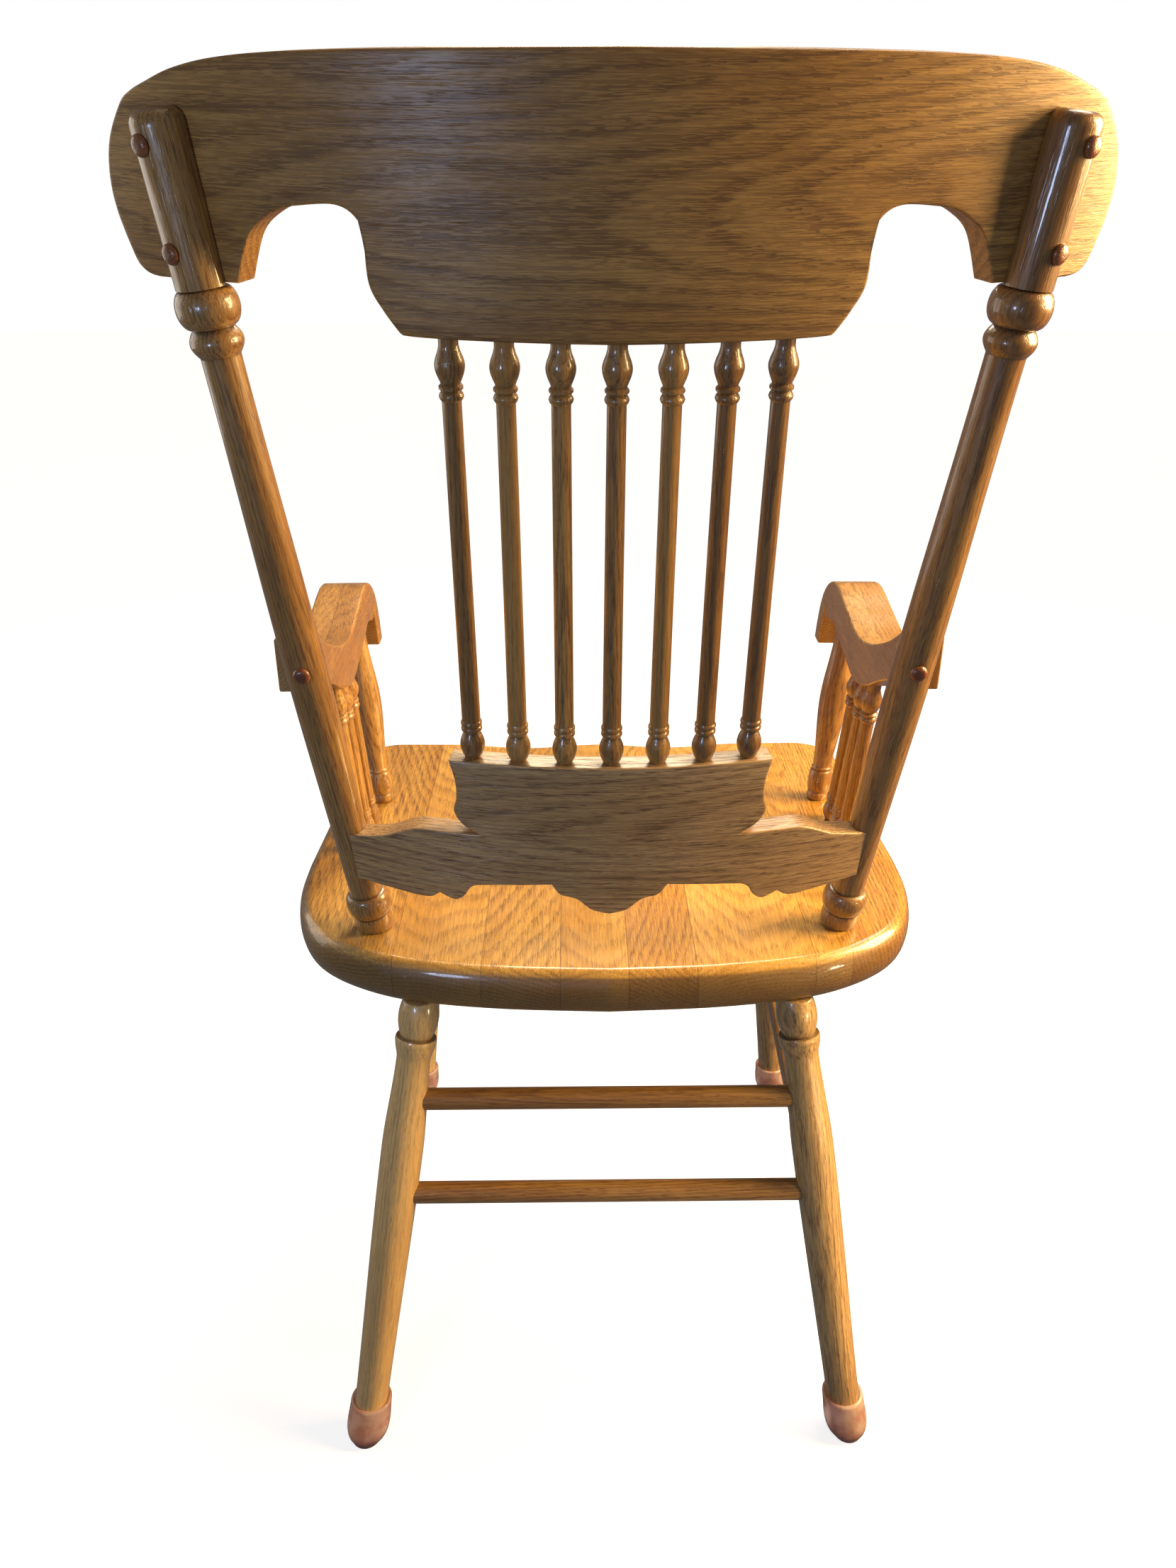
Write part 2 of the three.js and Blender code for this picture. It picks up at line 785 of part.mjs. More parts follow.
const stretcherLevels = [
  ["upper", upperStretcherHeight],
  ["lower", lowerStretcherHeight],
];
for (const [level, height] of stretcherLevels) {
  addStretcher(`rear_stretcher_${level}`, "rear_left", "rear_right", height);
  addStretcher(`front_stretcher_${level}`, "front_left", "front_right", height);
  addStretcher(`left_stretcher_${level}`, "rear_left", "front_left", height - sideStretcherDrop);
  addStretcher(`right_stretcher_${level}`, "rear_right", "front_right", height - sideStretcherDrop);
}

// Back frame: its own axes run across, squarely rearwards and up the slope
const backFrame = new THREE.Group();
backFrame.position.set(0, backBaseY, seatHeight);
backFrame.rotation.x = -Math.atan(backLeanShare);
backGroup.add(backFrame);
backGroup.updateWorldMatrix(true, true);
const bendCentre = railThickness / 2 - railBendRadius;

// Where a place on a flat board goes when the board is bent round the upright axis of the back frame
function bentPlace(across, out, up) {
  const radius = railBendRadius - railThickness / 2 + out;
  const angle = across / railBendRadius;
  return new THREE.Vector3(radius * Math.sin(angle), bendCentre + radius * Math.cos(angle), up);
}

// A board sawn to a mirrored outline, its arrises eased, then steam-bent
function makeBentBoard(halfOutline) {
  const otherHalf = halfOutline
    .slice(1, -1)
    .reverse()
    .map((point) => new THREE.Vector2(-point.x, point.y));
  const board = new THREE.ExtrudeGeometry(new THREE.Shape([...halfOutline, ...otherHalf]), {
    depth: railThickness - railEdgeRound * 2,
    bevelThickness: railEdgeRound,
    bevelSize: railEdgeRound,
    bevelOffset: -railEdgeRound,
    bevelSegments: 1,
    curveSegments: 1,
  });
  board.translate(0, 0, -railThickness / 2 + railEdgeRound).rotateX(Math.PI / 2);
  const divided = new TessellateModifier(railFacetLength, railDivideSteps).modify(board);
  const place = divided.getAttribute("position");
  for (let i = 0; i < place.count; i++) {
    const bent = bentPlace(place.getX(i), place.getY(i), place.getZ(i));
    place.setXYZ(i, bent.x, bent.y, bent.z);
  }
  return divided;
}

const crestOutline = tracedRuns(
  crestRunShares,
  crestRunSteps,
  crestHalfLength,
  crestHeight,
  0,
  crestBottom,
);
const crest = addPiece(backFrame, "crest_rail", makeBentBoard(crestOutline), oak());
const lowerRailOutline = tracedRuns(
  lowerRailRunShares,
  lowerRailRunSteps,
  lowerRailHalfLength,
  lowerRailHeight,
  0,
  lowerRailBottom,
);
const lowerRail = addPiece(backFrame, "lower_back_rail", makeBentBoard(lowerRailOutline), oak());
const lowerRailTop = lowerRailBottom + lowerRailHeight;

// A spindle: foot tenon, bulb, two rings, shaft, two rings, waist, acorn and head tenon
function makeSpindleTurning(clearLength, tenonLength) {
  const ends =
    spindleFootBulbLength +
    spindleRingLength * 3 +
    spindleWideRingLength +
    spindleWaistLength +
    spindleAcornLength +
    spindleNeckLength;
  return new Turning(spindleFootNeckRadius)
    .taper(tenonLength, spindleFootNeckRadius)
    .bead(spindleFootBulbLength, spindleFootBulbRadius, 3)
    .taper(0, spindleShaftFootRadius)
    .bead(spindleRingLength, spindleRingRadius, 2)
    .bead(spindleRingLength, spindleRingRadius, 2)
    .taper(clearLength - ends, spindleShaftTopRadius)
    .bead(spindleWideRingLength, spindleRingRadius, 2)
    .bead(spindleRingLength, spindleRingRadius, 2)
    .taper(spindleWaistLength, spindleWaistRadius)
    .ease(spindleAcornLength * spindleAcornRiseShare, spindleAcornRadius, 2)
    .ease(spindleAcornLength * (1 - spindleAcornRiseShare), spindleNeckRadius, 2)
    .taper(spindleNeckLength + tenonLength, spindleNeckRadius);
}

function boreFor(target, piece, radius, foot, head, pastFoot, pastHead) {
  const tool = barBetween(radius + fitClearance, foot, head, spindleSides, pastFoot, pastHead);
  tool.applyMatrix4(piece.parent.matrixWorld);
  cut(target, tool);
}

const backSpindlePitch = lowerRailHalfLength * backSpindlePitchShare;
for (let i = 0; i < backSpindleCount; i++) {
  const across = backSpindlePitch * (i - (backSpindleCount - 1) / 2);
  const foot = bentPlace(across, 0, lowerRailTop - backSpindleTenon);
  const head = bentPlace(across, 0, crestBottom + backSpindleTenon);
  const clearLength = crestBottom - lowerRailTop;
  const spindle = addPiece(
    backFrame,
    `back_spindle_${i + 1}`,
    makeSpindleTurning(clearLength, backSpindleTenon).geometry(spindleSides),
    oak(),
  );
  spindle.position.copy(foot);
  const midway = foot.clone().lerp(head, 0.5);
  boreFor(lowerRail, spindle, spindleFootNeckRadius, foot, midway, fitClearance, 0);
  boreFor(crest, spindle, spindleNeckRadius, midway, head, 0, fitClearance);
}

// Back posts
const postLean = Math.hypot(postSplayShare, postRakeShare, 1);

function makePostTurning() {
  return new Turning(postFootRingRadius * postFootRingEdgeShare)
    .bead(postFootRingLength, postFootRingRadius, 2)
    .taper(0, postFootNeckRadius)
    .bead(postFootBallLength, postFootBallRadius, 3)
    .ease(postSwellLength, postSwellRadius, 3)
    .ease(postTaperLength, postWristRadius, 3)
    .bead(postUpperRingLength, postUpperRingRadius, 2)
    .bead(postUpperBallLength, postUpperBallRadius, 3)
    .taper(0, postLapRadius)
    .taper(postLapLength - postTopRound, postLapRadius)
    .roundEnd(postTopRound, 2);
}

const posts = {};
for (const [side, sign] of sides) {
  const foot = new THREE.Vector3(sign * postFootX, postFootY, seatHeight);
  const along = new THREE.Vector3(sign * postSplayShare, postRakeShare, 1).divideScalar(postLean);
  const pointAlong = (distance) => foot.clone().addScaledVector(along, distance);
  const post = addPiece(backGroup, `back_post_${side}`, makePostTurning().geometry(postSides), oak());
  const head = pointAlong(1);
  aim(post, foot, head);
  cut(post, levelTool(seatHeight + fitClearance, -1));
  const belowSeat = pointAlong(-postTenonLength);
  const insideRing = pointAlong(postFootRingLength);
  join(post, barBetween(postTenonRadius, belowSeat, insideRing, postSides));
  cut(
    seat,
    barBetween(postTenonRadius + tenonClearance, belowSeat, insideRing, postSides, fitClearance, 0),
  );
  posts[side] = { post, foot, along, pointAlong };
}

// The flat lap on the front of each post, square to the bend where the crest rests on it
for (const [side, sign] of sides) {
  const { post } = posts[side];
  const earBottom = Math.min(...crestOutline.filter((p) => p.x > crestHalfLength / 2).map((p) => p.y));
  const reach = postLapLength + postUpperBallLength;
  const tool = new THREE.Mesh(new THREE.BoxGeometry(reach, reach, reach));
  const turn = sign * lapAngle;
  const rear = railBendRadius + fitClearance;
  tool.rotation.z = -turn;
  tool.position.set(
    Math.sin(turn) * (rear - reach / 2),
    bendCentre + Math.cos(turn) * (rear - reach / 2),
    earBottom - lapShoulderGap + reach / 2,
  );
  tool.updateMatrix();
  tool.applyMatrix4(backFrame.matrixWorld);
  cut(post, tool);
}

// The ends of the lower rail: coped round the posts, each with a hidden tenon
for (const [side, sign] of sides) {
  const { post, foot, pointAlong } = posts[side];
  const wrap = aim(
    new THREE.Mesh(makePostTurning().geometry(postSides, fitClearance)),
    foot,
    pointAlong(1),
  );
  cut(lowerRail, wrap);
  const height = lowerRailBottom + lowerRailHeight * railTenonShare;
  const root = bentPlace(sign * (lowerRailHalfLength - railTenonRoot), 0, height);
  const nearEnd = bentPlace(sign * lowerRailHalfLength, 0, height);
  const slope = nearEnd.clone().sub(root).normalize();
  const tip = nearEnd.clone().addScaledVector(slope, -railTenonStop);
  const tenon = barBetween(railTenonRadius, root, tip, spindleSides);
  tenon.applyMatrix4(backFrame.matrixWorld);
  join(lowerRail, tenon);
  const socket = barBetween(
    railTenonRadius + fitClearance,
    root,
    tip,
    spindleSides,
    0,
    endClearance,
  );
  socket.applyMatrix4(backFrame.matrixWorld);
  cut(post, socket);
}

// Arms: sawn from thick stock to a side outline, thinned towards the rear on the outer side
const armLength = armRearY - armFrontY;
const armOutline = tracedRuns(armRunShares, armRunSteps, -armLength, armRise, armRearY, armLowest);
const armTurn = Math.atan(armToeInShare);

function makeArmGeometry(sign) {
  const outline = armOutline.map((point) => point.clone());
  outline[0].x += armReachToPost;
  outline[outline.length - 1].x += armReachToPost;
  const blank = new THREE.ExtrudeGeometry(new THREE.Shape(outline), {
    depth: armWidth - armEdgeRound * 2,
    bevelThickness: armEdgeRound,
    bevelSize: armEdgeRound,
    bevelOffset: -armEdgeRound,
    bevelSegments: 1,
    curveSegments: 1,
  });
  blank.translate(0, 0, armEdgeRound);
  const place = blank.getAttribute("position");
  for (let i = 0; i < place.count; i++) {
    const along = place.getX(i);
    const height = place.getY(i);
    const taper = THREE.MathUtils.clamp((along - armTaperStartY) / (armRearY - armTaperStartY), 0, 1);
    const squeeze = 1 - taper * (1 - armRearWidth / armWidth);
    place.setXYZ(i, sign * place.getZ(i) * squeeze, along, height);
  }
  if (sign < 0) {
    for (let i = 0; i < place.count; i += 3) {
      const kept = [place.getX(i), place.getY(i), place.getZ(i)];
      place.setXYZ(i, place.getX(i + 1), place.getY(i + 1), place.getZ(i + 1));
      place.setXYZ(i + 1, ...kept);
    }
  }
  return blank;
}

// The height of the arm's underside over a place along it
function armUndersideAt(along) {
  const underStart = armRunSteps.slice(0, 3).reduce((sum, steps) => sum + steps, 0);
  for (let i = underStart; i < armOutline.length - 1; i++) {
    const [front, rear] = [armOutline[i], armOutline[i + 1]];
    if (along >= front.x && along <= rear.x) {
      return THREE.MathUtils.mapLinear(along, front.x, rear.x, front.y, rear.y);
    }
  }
  return armLowest;
}

// Trims the head of a turned piece to the underside of its arm, a clearance below it
function cutUnderArm(piece, arm) {
  const lowered = makeSolid(arm).translate([0, 0, -fitClearance]);
  solids.set(piece, solidOf(piece).subtract(lowered));
}

const arms = {};
for (const [side, sign] of sides) {
  const arm = addPiece(armGroup, `arm_${side}`, makeArmGeometry(sign), oak());
  arm.position.x = sign * armInnerOffset;
  arm.rotation.z = sign * armTurn;
  const { foot, pointAlong } = posts[side];
  const wrap = new THREE.Mesh(makePostTurning().geometry(postSides, fitClearance));
  cut(arm, aim(wrap, foot, pointAlong(1)));
  arms[side] = arm;
}

// Arm posts
function makeArmPostTurning(length) {
  const used =
    armPostFootRingLength +
    armPostFootBulbLength +
    armPostAnkleLength +
    armPostSwellLength +
    armPostTaperLength;
  return new Turning(armPostFootRingRadius * armPostFootRingEdgeShare)
    .bead(armPostFootRingLength, armPostFootRingRadius, 2)
    .taper(0, armPostAnkleRadius)
    .bead(armPostFootBulbLength, armPostFootBulbRadius, 3)
    .bead(armPostAnkleLength, armPostFootRingRadius, 2)
    .taper(0, armPostLowerRadius)
    .ease(armPostSwellLength, armPostSwellRadius, 3)
    .ease(armPostTaperLength, armPostWristRadius, 3)
    .taper(length - used, armPostWristRadius);
}

for (const [side, sign] of sides) {
  const foot = new THREE.Vector3(sign * armPostFootX, armPostFootY, seatHeight);
  const headHeight = armUndersideAt(armPostHeadY);
  const head = new THREE.Vector3(sign * armPostHeadX, armPostHeadY, headHeight);
  const length = foot.distanceTo(head);
  const post = addPiece(
    armGroup,
    `arm_post_${side}`,
    makeArmPostTurning(length + cutOverrun).geometry(armPostSides),
    oak(),
  );
  aim(post, foot, head);
  cut(post, levelTool(seatHeight + fitClearance, -1));
  cutUnderArm(post, arms[side]);
  const insideFoot = pointAtHeight(foot, head, seatHeight + armPostFootRingLength);
  const insideHead = pointAtHeight(foot, head, headHeight - armPostFootRingLength);
  const tenons = [
    barBetween(armPostTenonRadius, foot, insideFoot, armPostSides, armPostTenonLength, 0),
    barBetween(armPostTenonRadius, insideHead, head, armPostSides, 0, armPostTenonLength),
  ];
  join(post, ...tenons);
  const socketRadius = armPostTenonRadius + tenonClearance;
  const socketReach = armPostTenonLength + fitClearance;
  cut(seat, barBetween(socketRadius, foot, insideFoot, armPostSides, socketReach, 0));
  cut(arms[side], barBetween(socketRadius, insideHead, head, armPostSides, 0, socketReach));
}

// Arm spindles
for (const [side, sign] of sides) {
  armSpindleFootSetbacks.forEach((footSetback, index) => {
    const footY = armPostFootY + footSetback;
    const headY = armPostHeadY + armSpindleHeadSetbacks[index];
    const foot = new THREE.Vector3(sign * armSpindleFootX, footY, seatHeight);
    const head = new THREE.Vector3(sign * armSpindleHeadX, headY, armUndersideAt(headY));
    const along = head.clone().sub(foot).normalize();
    const start = foot.clone().addScaledVector(along, -armSpindleTenon);
    const spindle = addPiece(
      armGroup,
      `arm_spindle_${side}_${index + 1}`,
      makeSpindleTurning(foot.distanceTo(head), armSpindleTenon).geometry(spindleSides),
      oak(),
    );
    aim(spindle, start, head);
    cut(spindle, levelTool(seatHeight + fitClearance, -1));
    cutUnderArm(spindle, arms[side]);
    const insideBulb = foot.clone().addScaledVector(along, spindleFootBulbLength / 2);
    const insideAcorn = head.clone().addScaledVector(along, -spindleAcornLength / 2);
    join(
      spindle,
      barBetween(spindleFootNeckRadius, start, insideBulb, spindleSides),
      barBetween(spindleNeckRadius, insideAcorn, head, spindleSides, 0, armSpindleTenon),
    );
    const midway = foot.clone().lerp(head, 0.5);
    const past = armSpindleTenon + fitClearance;
    boreFor(seat, spindle, spindleFootNeckRadius, foot, midway, past, 0);
    boreFor(arms[side], spindle, spindleNeckRadius, midway, head, 0, past);
  });
}

// A screw through a post and the plug over it. The plug stands square to the surface of the post, and
// the screw starts at the bottom of the plug's bore.
function addFastening(name, post, surface, plugInwards, screwInwards, length, target) {
  const seatPoint = surface.clone().addScaledVector(plugInwards, counterboreDepth);
  const screwEnd = seatPoint.clone().addScaledVector(screwInwards, length);
  const screw = addPiece(
    backGroup,
    `screw_${name}`,
    new Turning(screwHeadRadius)
      .taper(screwHeadHeight / 2, screwHeadRadius)
      .taper(screwHeadHeight / 2, screwShankRadius)
      .taper(length - screwHeadHeight - screwShankRadius, screwShankRadius)
      .taper(screwShankRadius, screwTipRadius)
      .geometry(screwSides),
    steel(),
  );
  aim(screw, seatPoint, screwEnd);
  const plug = addPiece(
    backGroup,
    `plug_${name}`,
    new Turning(plugShankRadius)
      .taper(plugShankLength, plugShankRadius)
      .taper(0, plugHeadRadius)
      .roundEnd(plugHeadHeight, 2)
      .geometry(plugSides),
    plugOak(),
  );
  const shankEnd = surface.clone().addScaledVector(plugInwards, plugShankLength);
  aim(plug, shankEnd, surface);
  const counterbore = barBetween(
    plugShankRadius + fitClearance,
    seatPoint,
    surface,
    plugSides,
    0,
    cutOverrun,
  );
  const headPocket = barBetween(
    screwHeadRadius + fitClearance,
    seatPoint,
    screwEnd,
    screwSides,
    fitClearance,
    screwHeadHeight + fitClearance - length,
  );
  const clearanceHole = barBetween(
    screwShankRadius + fitClearance,
    seatPoint,
    screwEnd,
    screwSides,
    0,
    endClearance,
  );
  cut(post, counterbore, headPocket, clearanceHole);
  cut(target, clearanceHole);
}

// The direction square to a post that is nearest to a wanted one
function squareTo(along, wanted) {
  return wanted.clone().addScaledVector(along, -wanted.dot(along)).normalize();
}

for (const [side, sign] of sides) {
  const { post, along, pointAlong } = posts[side];
  const crestScrewAngle = lapAngle + crestScrewTurn;
  crestScrewRises.forEach((rise, index) => {
    const middle = pointAlong(rise * postLean);
    const towards = new THREE.Vector3(-sign * Math.sin(crestScrewAngle), -Math.cos(crestScrewAngle), 0);
    const inwards = squareTo(along, towards);
    const surface = middle.clone().addScaledVector(inwards, -postLapRadius - fitClearance);
    const name = `${side}_${index === 0 ? "upper" : "lower"}`;
    addFastening(name, post, surface, inwards, inwards, crestScrewLength, crest);
  });
  const middle = pointAlong(armScrewRise * postLean);
  const inwards = squareTo(along, new THREE.Vector3(0, -1, 0));
  const surface = middle.clone().addScaledVector(inwards, -postSwellRadius - fitClearance);
  const screwInwards = new THREE.Vector3(sign * armScrewCantShare, -1, -armScrewDipShare).normalize();
  addFastening(`${side}_arm`, post, surface, inwards, screwInwards, armScrewLength, arms[side]);
}

writeBackSolids();

// The origin is on the floor, under the middle of the whole chair
chair.updateMatrixWorld(true);
const extent = new THREE.Box3().setFromObject(chair, true);
chair.position.y = -(extent.min.y + extent.max.y) / 2;

export default chair;
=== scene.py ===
"""A captain's chair in golden oak, dressed for a studio picture.

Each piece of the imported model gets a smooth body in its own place: turned pieces are profiles
carried round an axis, rails and arms are sawn outlines with eased edges, and the seat is a disc
drawn out to its outline. Lengths are in metres, with Z up, and the sitter faces -Y.
"""

import logging
import math
from collections.abc import Callable, Sequence
from dataclasses import dataclass, field
from enum import Enum
from functools import reduce

import bmesh
import bpy
import numpy as np
from mathutils import Matrix, Vector


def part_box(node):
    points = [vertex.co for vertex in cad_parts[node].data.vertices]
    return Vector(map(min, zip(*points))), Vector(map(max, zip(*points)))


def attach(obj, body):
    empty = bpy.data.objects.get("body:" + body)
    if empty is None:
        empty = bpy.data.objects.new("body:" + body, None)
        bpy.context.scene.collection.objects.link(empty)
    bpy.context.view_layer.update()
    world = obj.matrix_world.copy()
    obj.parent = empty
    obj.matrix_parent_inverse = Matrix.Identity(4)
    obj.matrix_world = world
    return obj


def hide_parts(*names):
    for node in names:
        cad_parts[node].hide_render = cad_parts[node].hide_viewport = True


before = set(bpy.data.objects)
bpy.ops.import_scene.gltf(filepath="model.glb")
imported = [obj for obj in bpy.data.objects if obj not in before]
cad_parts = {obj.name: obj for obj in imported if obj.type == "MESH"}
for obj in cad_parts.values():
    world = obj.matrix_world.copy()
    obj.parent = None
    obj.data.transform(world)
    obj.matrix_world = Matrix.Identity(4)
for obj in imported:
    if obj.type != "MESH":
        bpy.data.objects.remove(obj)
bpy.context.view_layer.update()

BODY = "root"
PHOTO_HEIGHT = 2212
WELD = 2e-6
FIT = 0.0003
GRAIN, WEAR, TONE = "grain", "wear", "tone"
OAK = "golden_oak"

Array = np.ndarray
Placing = Callable[[Array], Array]
Colour = tuple[float, float, float]
Run = tuple[tuple[float, float], ...]

log = logging.getLogger("captains_chair")


class Side(Enum):
    """The two sides of the chair, as they lie for someone who stands before it."""

    LEFT = -1
    RIGHT = 1

    @property
    def word(self) -> str:
        """The side's name in a node's name."""
        return self.name.lower()


class Cut(Enum):
    """The cuts of a turner, each a curve from one radius to the next over a length."""

    TAPER = "taper"
    EASE = "ease"
    BEAD = "bead"
    BALL = "ball"
    ROUND = "round"
    SWELL = "swell"


@dataclass(frozen=True)
class Turned:
    """One cut on a turned piece.

    Args:
        cut: The curve of the cut.
        length: How far it runs along the axis.
        radius: The radius that it reaches, at the middle of a bead or a ball, else at its end.
    """

    cut: Cut
    length: float
    radius: float


@dataclass(frozen=True)
class Sawn:
    """Where in the tree the pieces of a set were cut from, each a step on from the last."""

    first: tuple[float, float, float]
    step: tuple[float, float, float]

    def at(self, number: int) -> Array:
        """The place that one of the pieces was cut from."""
        return np.array(self.first) + number * np.array(self.step)


@dataclass(frozen=True)
class Datum:
    """Places and slopes that more than one sub-assembly follows."""

    seat_height: float = 0.457
    seat_thickness: float = 0.040
    rear_foot_y: float = 0.293
    back_base_y: float = 0.1898
    back_lean: float = math.atan(0.151)
    rail_thickness: float = 0.019
    rail_bend_radius: float = 0.605
    post_foot_x: float = 0.199
    post_foot_y: float = 0.1497
    post_splay: float = 0.11268
    post_rake: float = 0.14205

    @property
    def origin_y(self) -> float:
        """How far the part's frame lies from the one that the sizes here are given in."""
        low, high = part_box("felt_pad_rear_left")
        return (low.y + high.y) / 2 - self.rear_foot_y

    @property
    def seat_underside(self) -> float:
        """The height of the underside of the seat."""
        return self.seat_height - self.seat_thickness

    def point(self, x: float, y: float, z: float) -> Array:
        """A point of the chair, in the part's frame."""
        return np.array([x, y + self.origin_y, z])

    def bent(self, local: Array) -> Array:
        """Bends a flat board round the upright axis of the back and leans it.

        The place across turns into an angle at the bend radius, the place out adds to that radius,
        and the whole is turned back by the lean about the line where the back meets the seat.

        Args:
            local: Points as across, out and up the slope.

        Returns:
            The same points in the part's frame.
        """
        across, out, rise = np.moveaxis(local, -1, 0)
        radius = self.rail_bend_radius - self.rail_thickness / 2 + out
        angle = across / self.rail_bend_radius
        depth = self.rail_thickness / 2 - self.rail_bend_radius + radius * np.cos(angle)
        sine, cosine = math.sin(self.back_lean), math.cos(self.back_lean)
        return np.stack(
            [
                radius * np.sin(angle),
                self.origin_y + self.back_base_y + depth * cosine + rise * sine,
                self.seat_height - depth * sine + rise * cosine,
            ],
            axis=-1,
        )

    def post_axis(self, side: Side) -> tuple[Array, Array]:
        """The foot of a back post and the direction of its axis.

        Args:
            side: Which post it is.

        Returns:
            The foot, and the unit direction upwards.
        """
        along = np.array([side.value * self.post_splay, self.post_rake, 1.0])
        foot = self.point(side.value * self.post_foot_x, self.post_foot_y, self.seat_height)
        return foot, along / np.linalg.norm(along)


# Shapes

STRAIGHT_PACE, CURVED_PACE = 0.006, 0.0012
WEAR_STEP, WEAR_WINDOW, PROUD_LIMIT = 0.0005, 33, 0.0016
KNOT_STEPS = 32
ROUND_STEPS, EDGE_STEPS = 6, 7
LEAST_SLANT = 0.45


def turned_profile(first_radius: float, cuts: Sequence[Turned]) -> Array:
    """The profile of a turned piece, closed on its axis at both ends.

    A taper runs straight, an ease is half a cosine wave and a swell a quarter of a sine wave. A
    bead is half a sine wave that comes back to the radius it left, a ball is half an ellipse that
    does so, and a round is a quarter ellipse. Steps are closer at the ends of each cut.

    Args:
        first_radius: The radius at the foot.
        cuts: The cuts in order from the foot.

    Returns:
        Points as radius and height, one row each.
    """
    radius, height = first_radius, 0.0
    rows = [np.array([[0.0, 0.0], [first_radius / 2, 0.0], [first_radius, 0.0]])]
    for item in cuts:
        pace = STRAIGHT_PACE if item.cut in (Cut.TAPER, Cut.EASE) else CURVED_PACE
        count = max(5, math.ceil(item.length / pace)) if item.length else 2
        even = np.linspace(0, 1, count + 1)[1:]
        share = (1 - np.cos(math.pi * even)) / 2
        change = item.radius - radius
        if item.cut is Cut.TAPER:
            reach = change * share
        elif item.cut is Cut.EASE:
            reach = change * (1 - np.cos(math.pi * share)) / 2
        elif item.cut is Cut.SWELL:
            reach = change * np.sin(math.pi / 2 * share)
        elif item.cut is Cut.BEAD:
            reach = change * np.sin(math.pi * share)
        elif item.cut is Cut.BALL:
            reach = change * np.sin(math.pi * even)
        else:
            share = np.sin(math.pi / 2 * even)
            reach = change * (1 - np.cos(math.pi / 2 * even))
        rows.append(np.stack([radius + reach, height + item.length * share], axis=1))
        height += item.length
        if item.cut not in (Cut.BEAD, Cut.BALL):
            radius = item.radius
    rows.append(np.array([[radius / 2, height], [0.0, height]]))
    return np.concatenate(rows)


def revolved(profile: Array, turns: int) -> Array:
    """Carries a profile round the upright axis.

    Each point goes to its radius times the cosine and sine of the turn, at its own height.

    Args:
        profile: Points as radius and height.
        turns: The number of steps round the axis.

    Returns:
        A grid of points, rows along the profile and columns round the axis.
    """
    turn = np.linspace(0, 2 * math.pi, turns, endpoint=False)
    radius, height = profile[:, :1], profile[:, 1:]
    return np.stack([radius * np.cos(turn), radius * np.sin(turn), height + 0 * turn], axis=-1)


def profile_wear(profile: Array) -> Array:
    """How far each point of a profile stands proud of its neighbourhood, from -1 to 1.

    Args:
        profile: Points as radius and height.

    Returns:
        One value for each point.
    """
    height = profile[:, 1]
    even = np.arange(height[0], height[-1], WEAR_STEP)
    ends = np.flatnonzero(np.diff(height) > 0)
    radius = np.interp(even, height[ends], profile[ends, 0])
    window = np.hanning(WEAR_WINDOW)
    padded = np.pad(radius, WEAR_WINDOW // 2, mode="edge")
    smooth = np.convolve(padded, window / window.sum(), mode="valid")
    proud = np.interp(height, even, radius - smooth)
    return np.clip(proud / PROUD_LIMIT, -1, 1)


def smooth_run(knots: Array) -> Array:
    """A Catmull-Rom curve through its knots, as a dense line of points.

    Args:
        knots: The points that it goes through.

    Returns:
        The line of points.
    """
    padded = np.concatenate([knots[:1], knots, knots[-1:]])
    before, start, end, after = padded[:-3], padded[1:-2], padded[2:-1], padded[3:]
    t = np.linspace(0, 1, KNOT_STEPS, endpoint=False)[:, None, None]
    curve = (
        2 * start
        + (end - before) * t
        + (2 * before - 5 * start + 4 * end - after) * t**2
        + (3 * start - before - 3 * end + after) * t**3
    ) / 2
    return np.concatenate([curve.transpose(1, 0, 2).reshape(-1, 2), knots[-1:]])


def traced(runs: Sequence[Run], size: Sequence[float], base: Sequence[float]) -> list[Array]:
    """The runs of an outline, given as shares of its size, as dense curves in real sizes."""
    return [smooth_run(np.array(run, float) * size + base) for run in runs]


def paced(curve: Array, counts: Sequence[int], splits: Sequence[float] = ()) -> Array:
    """Walks along a line of points in even steps.

    Args:
        curve: The dense line.
        counts: The number of steps in each stretch of it.
        splits: The shares of its length at which one stretch ends and the next begins.

    Returns:
        The points walked to, both ends included.
    """
    steps = np.linalg.norm(np.diff(curve, axis=0), axis=1)
    length = np.concatenate([[0.0], np.cumsum(steps)])
    marks = [0.0, *splits, 1.0]
    shares = [
        np.linspace(low, high, count, endpoint=False)
        for low, high, count in zip(marks[:-1], marks[1:], counts)
    ]
    at = np.concatenate([*shares, [1.0]]) * length[-1]
    return np.stack([np.interp(at, length, curve[:, axis]) for axis in (0, 1)], axis=1)


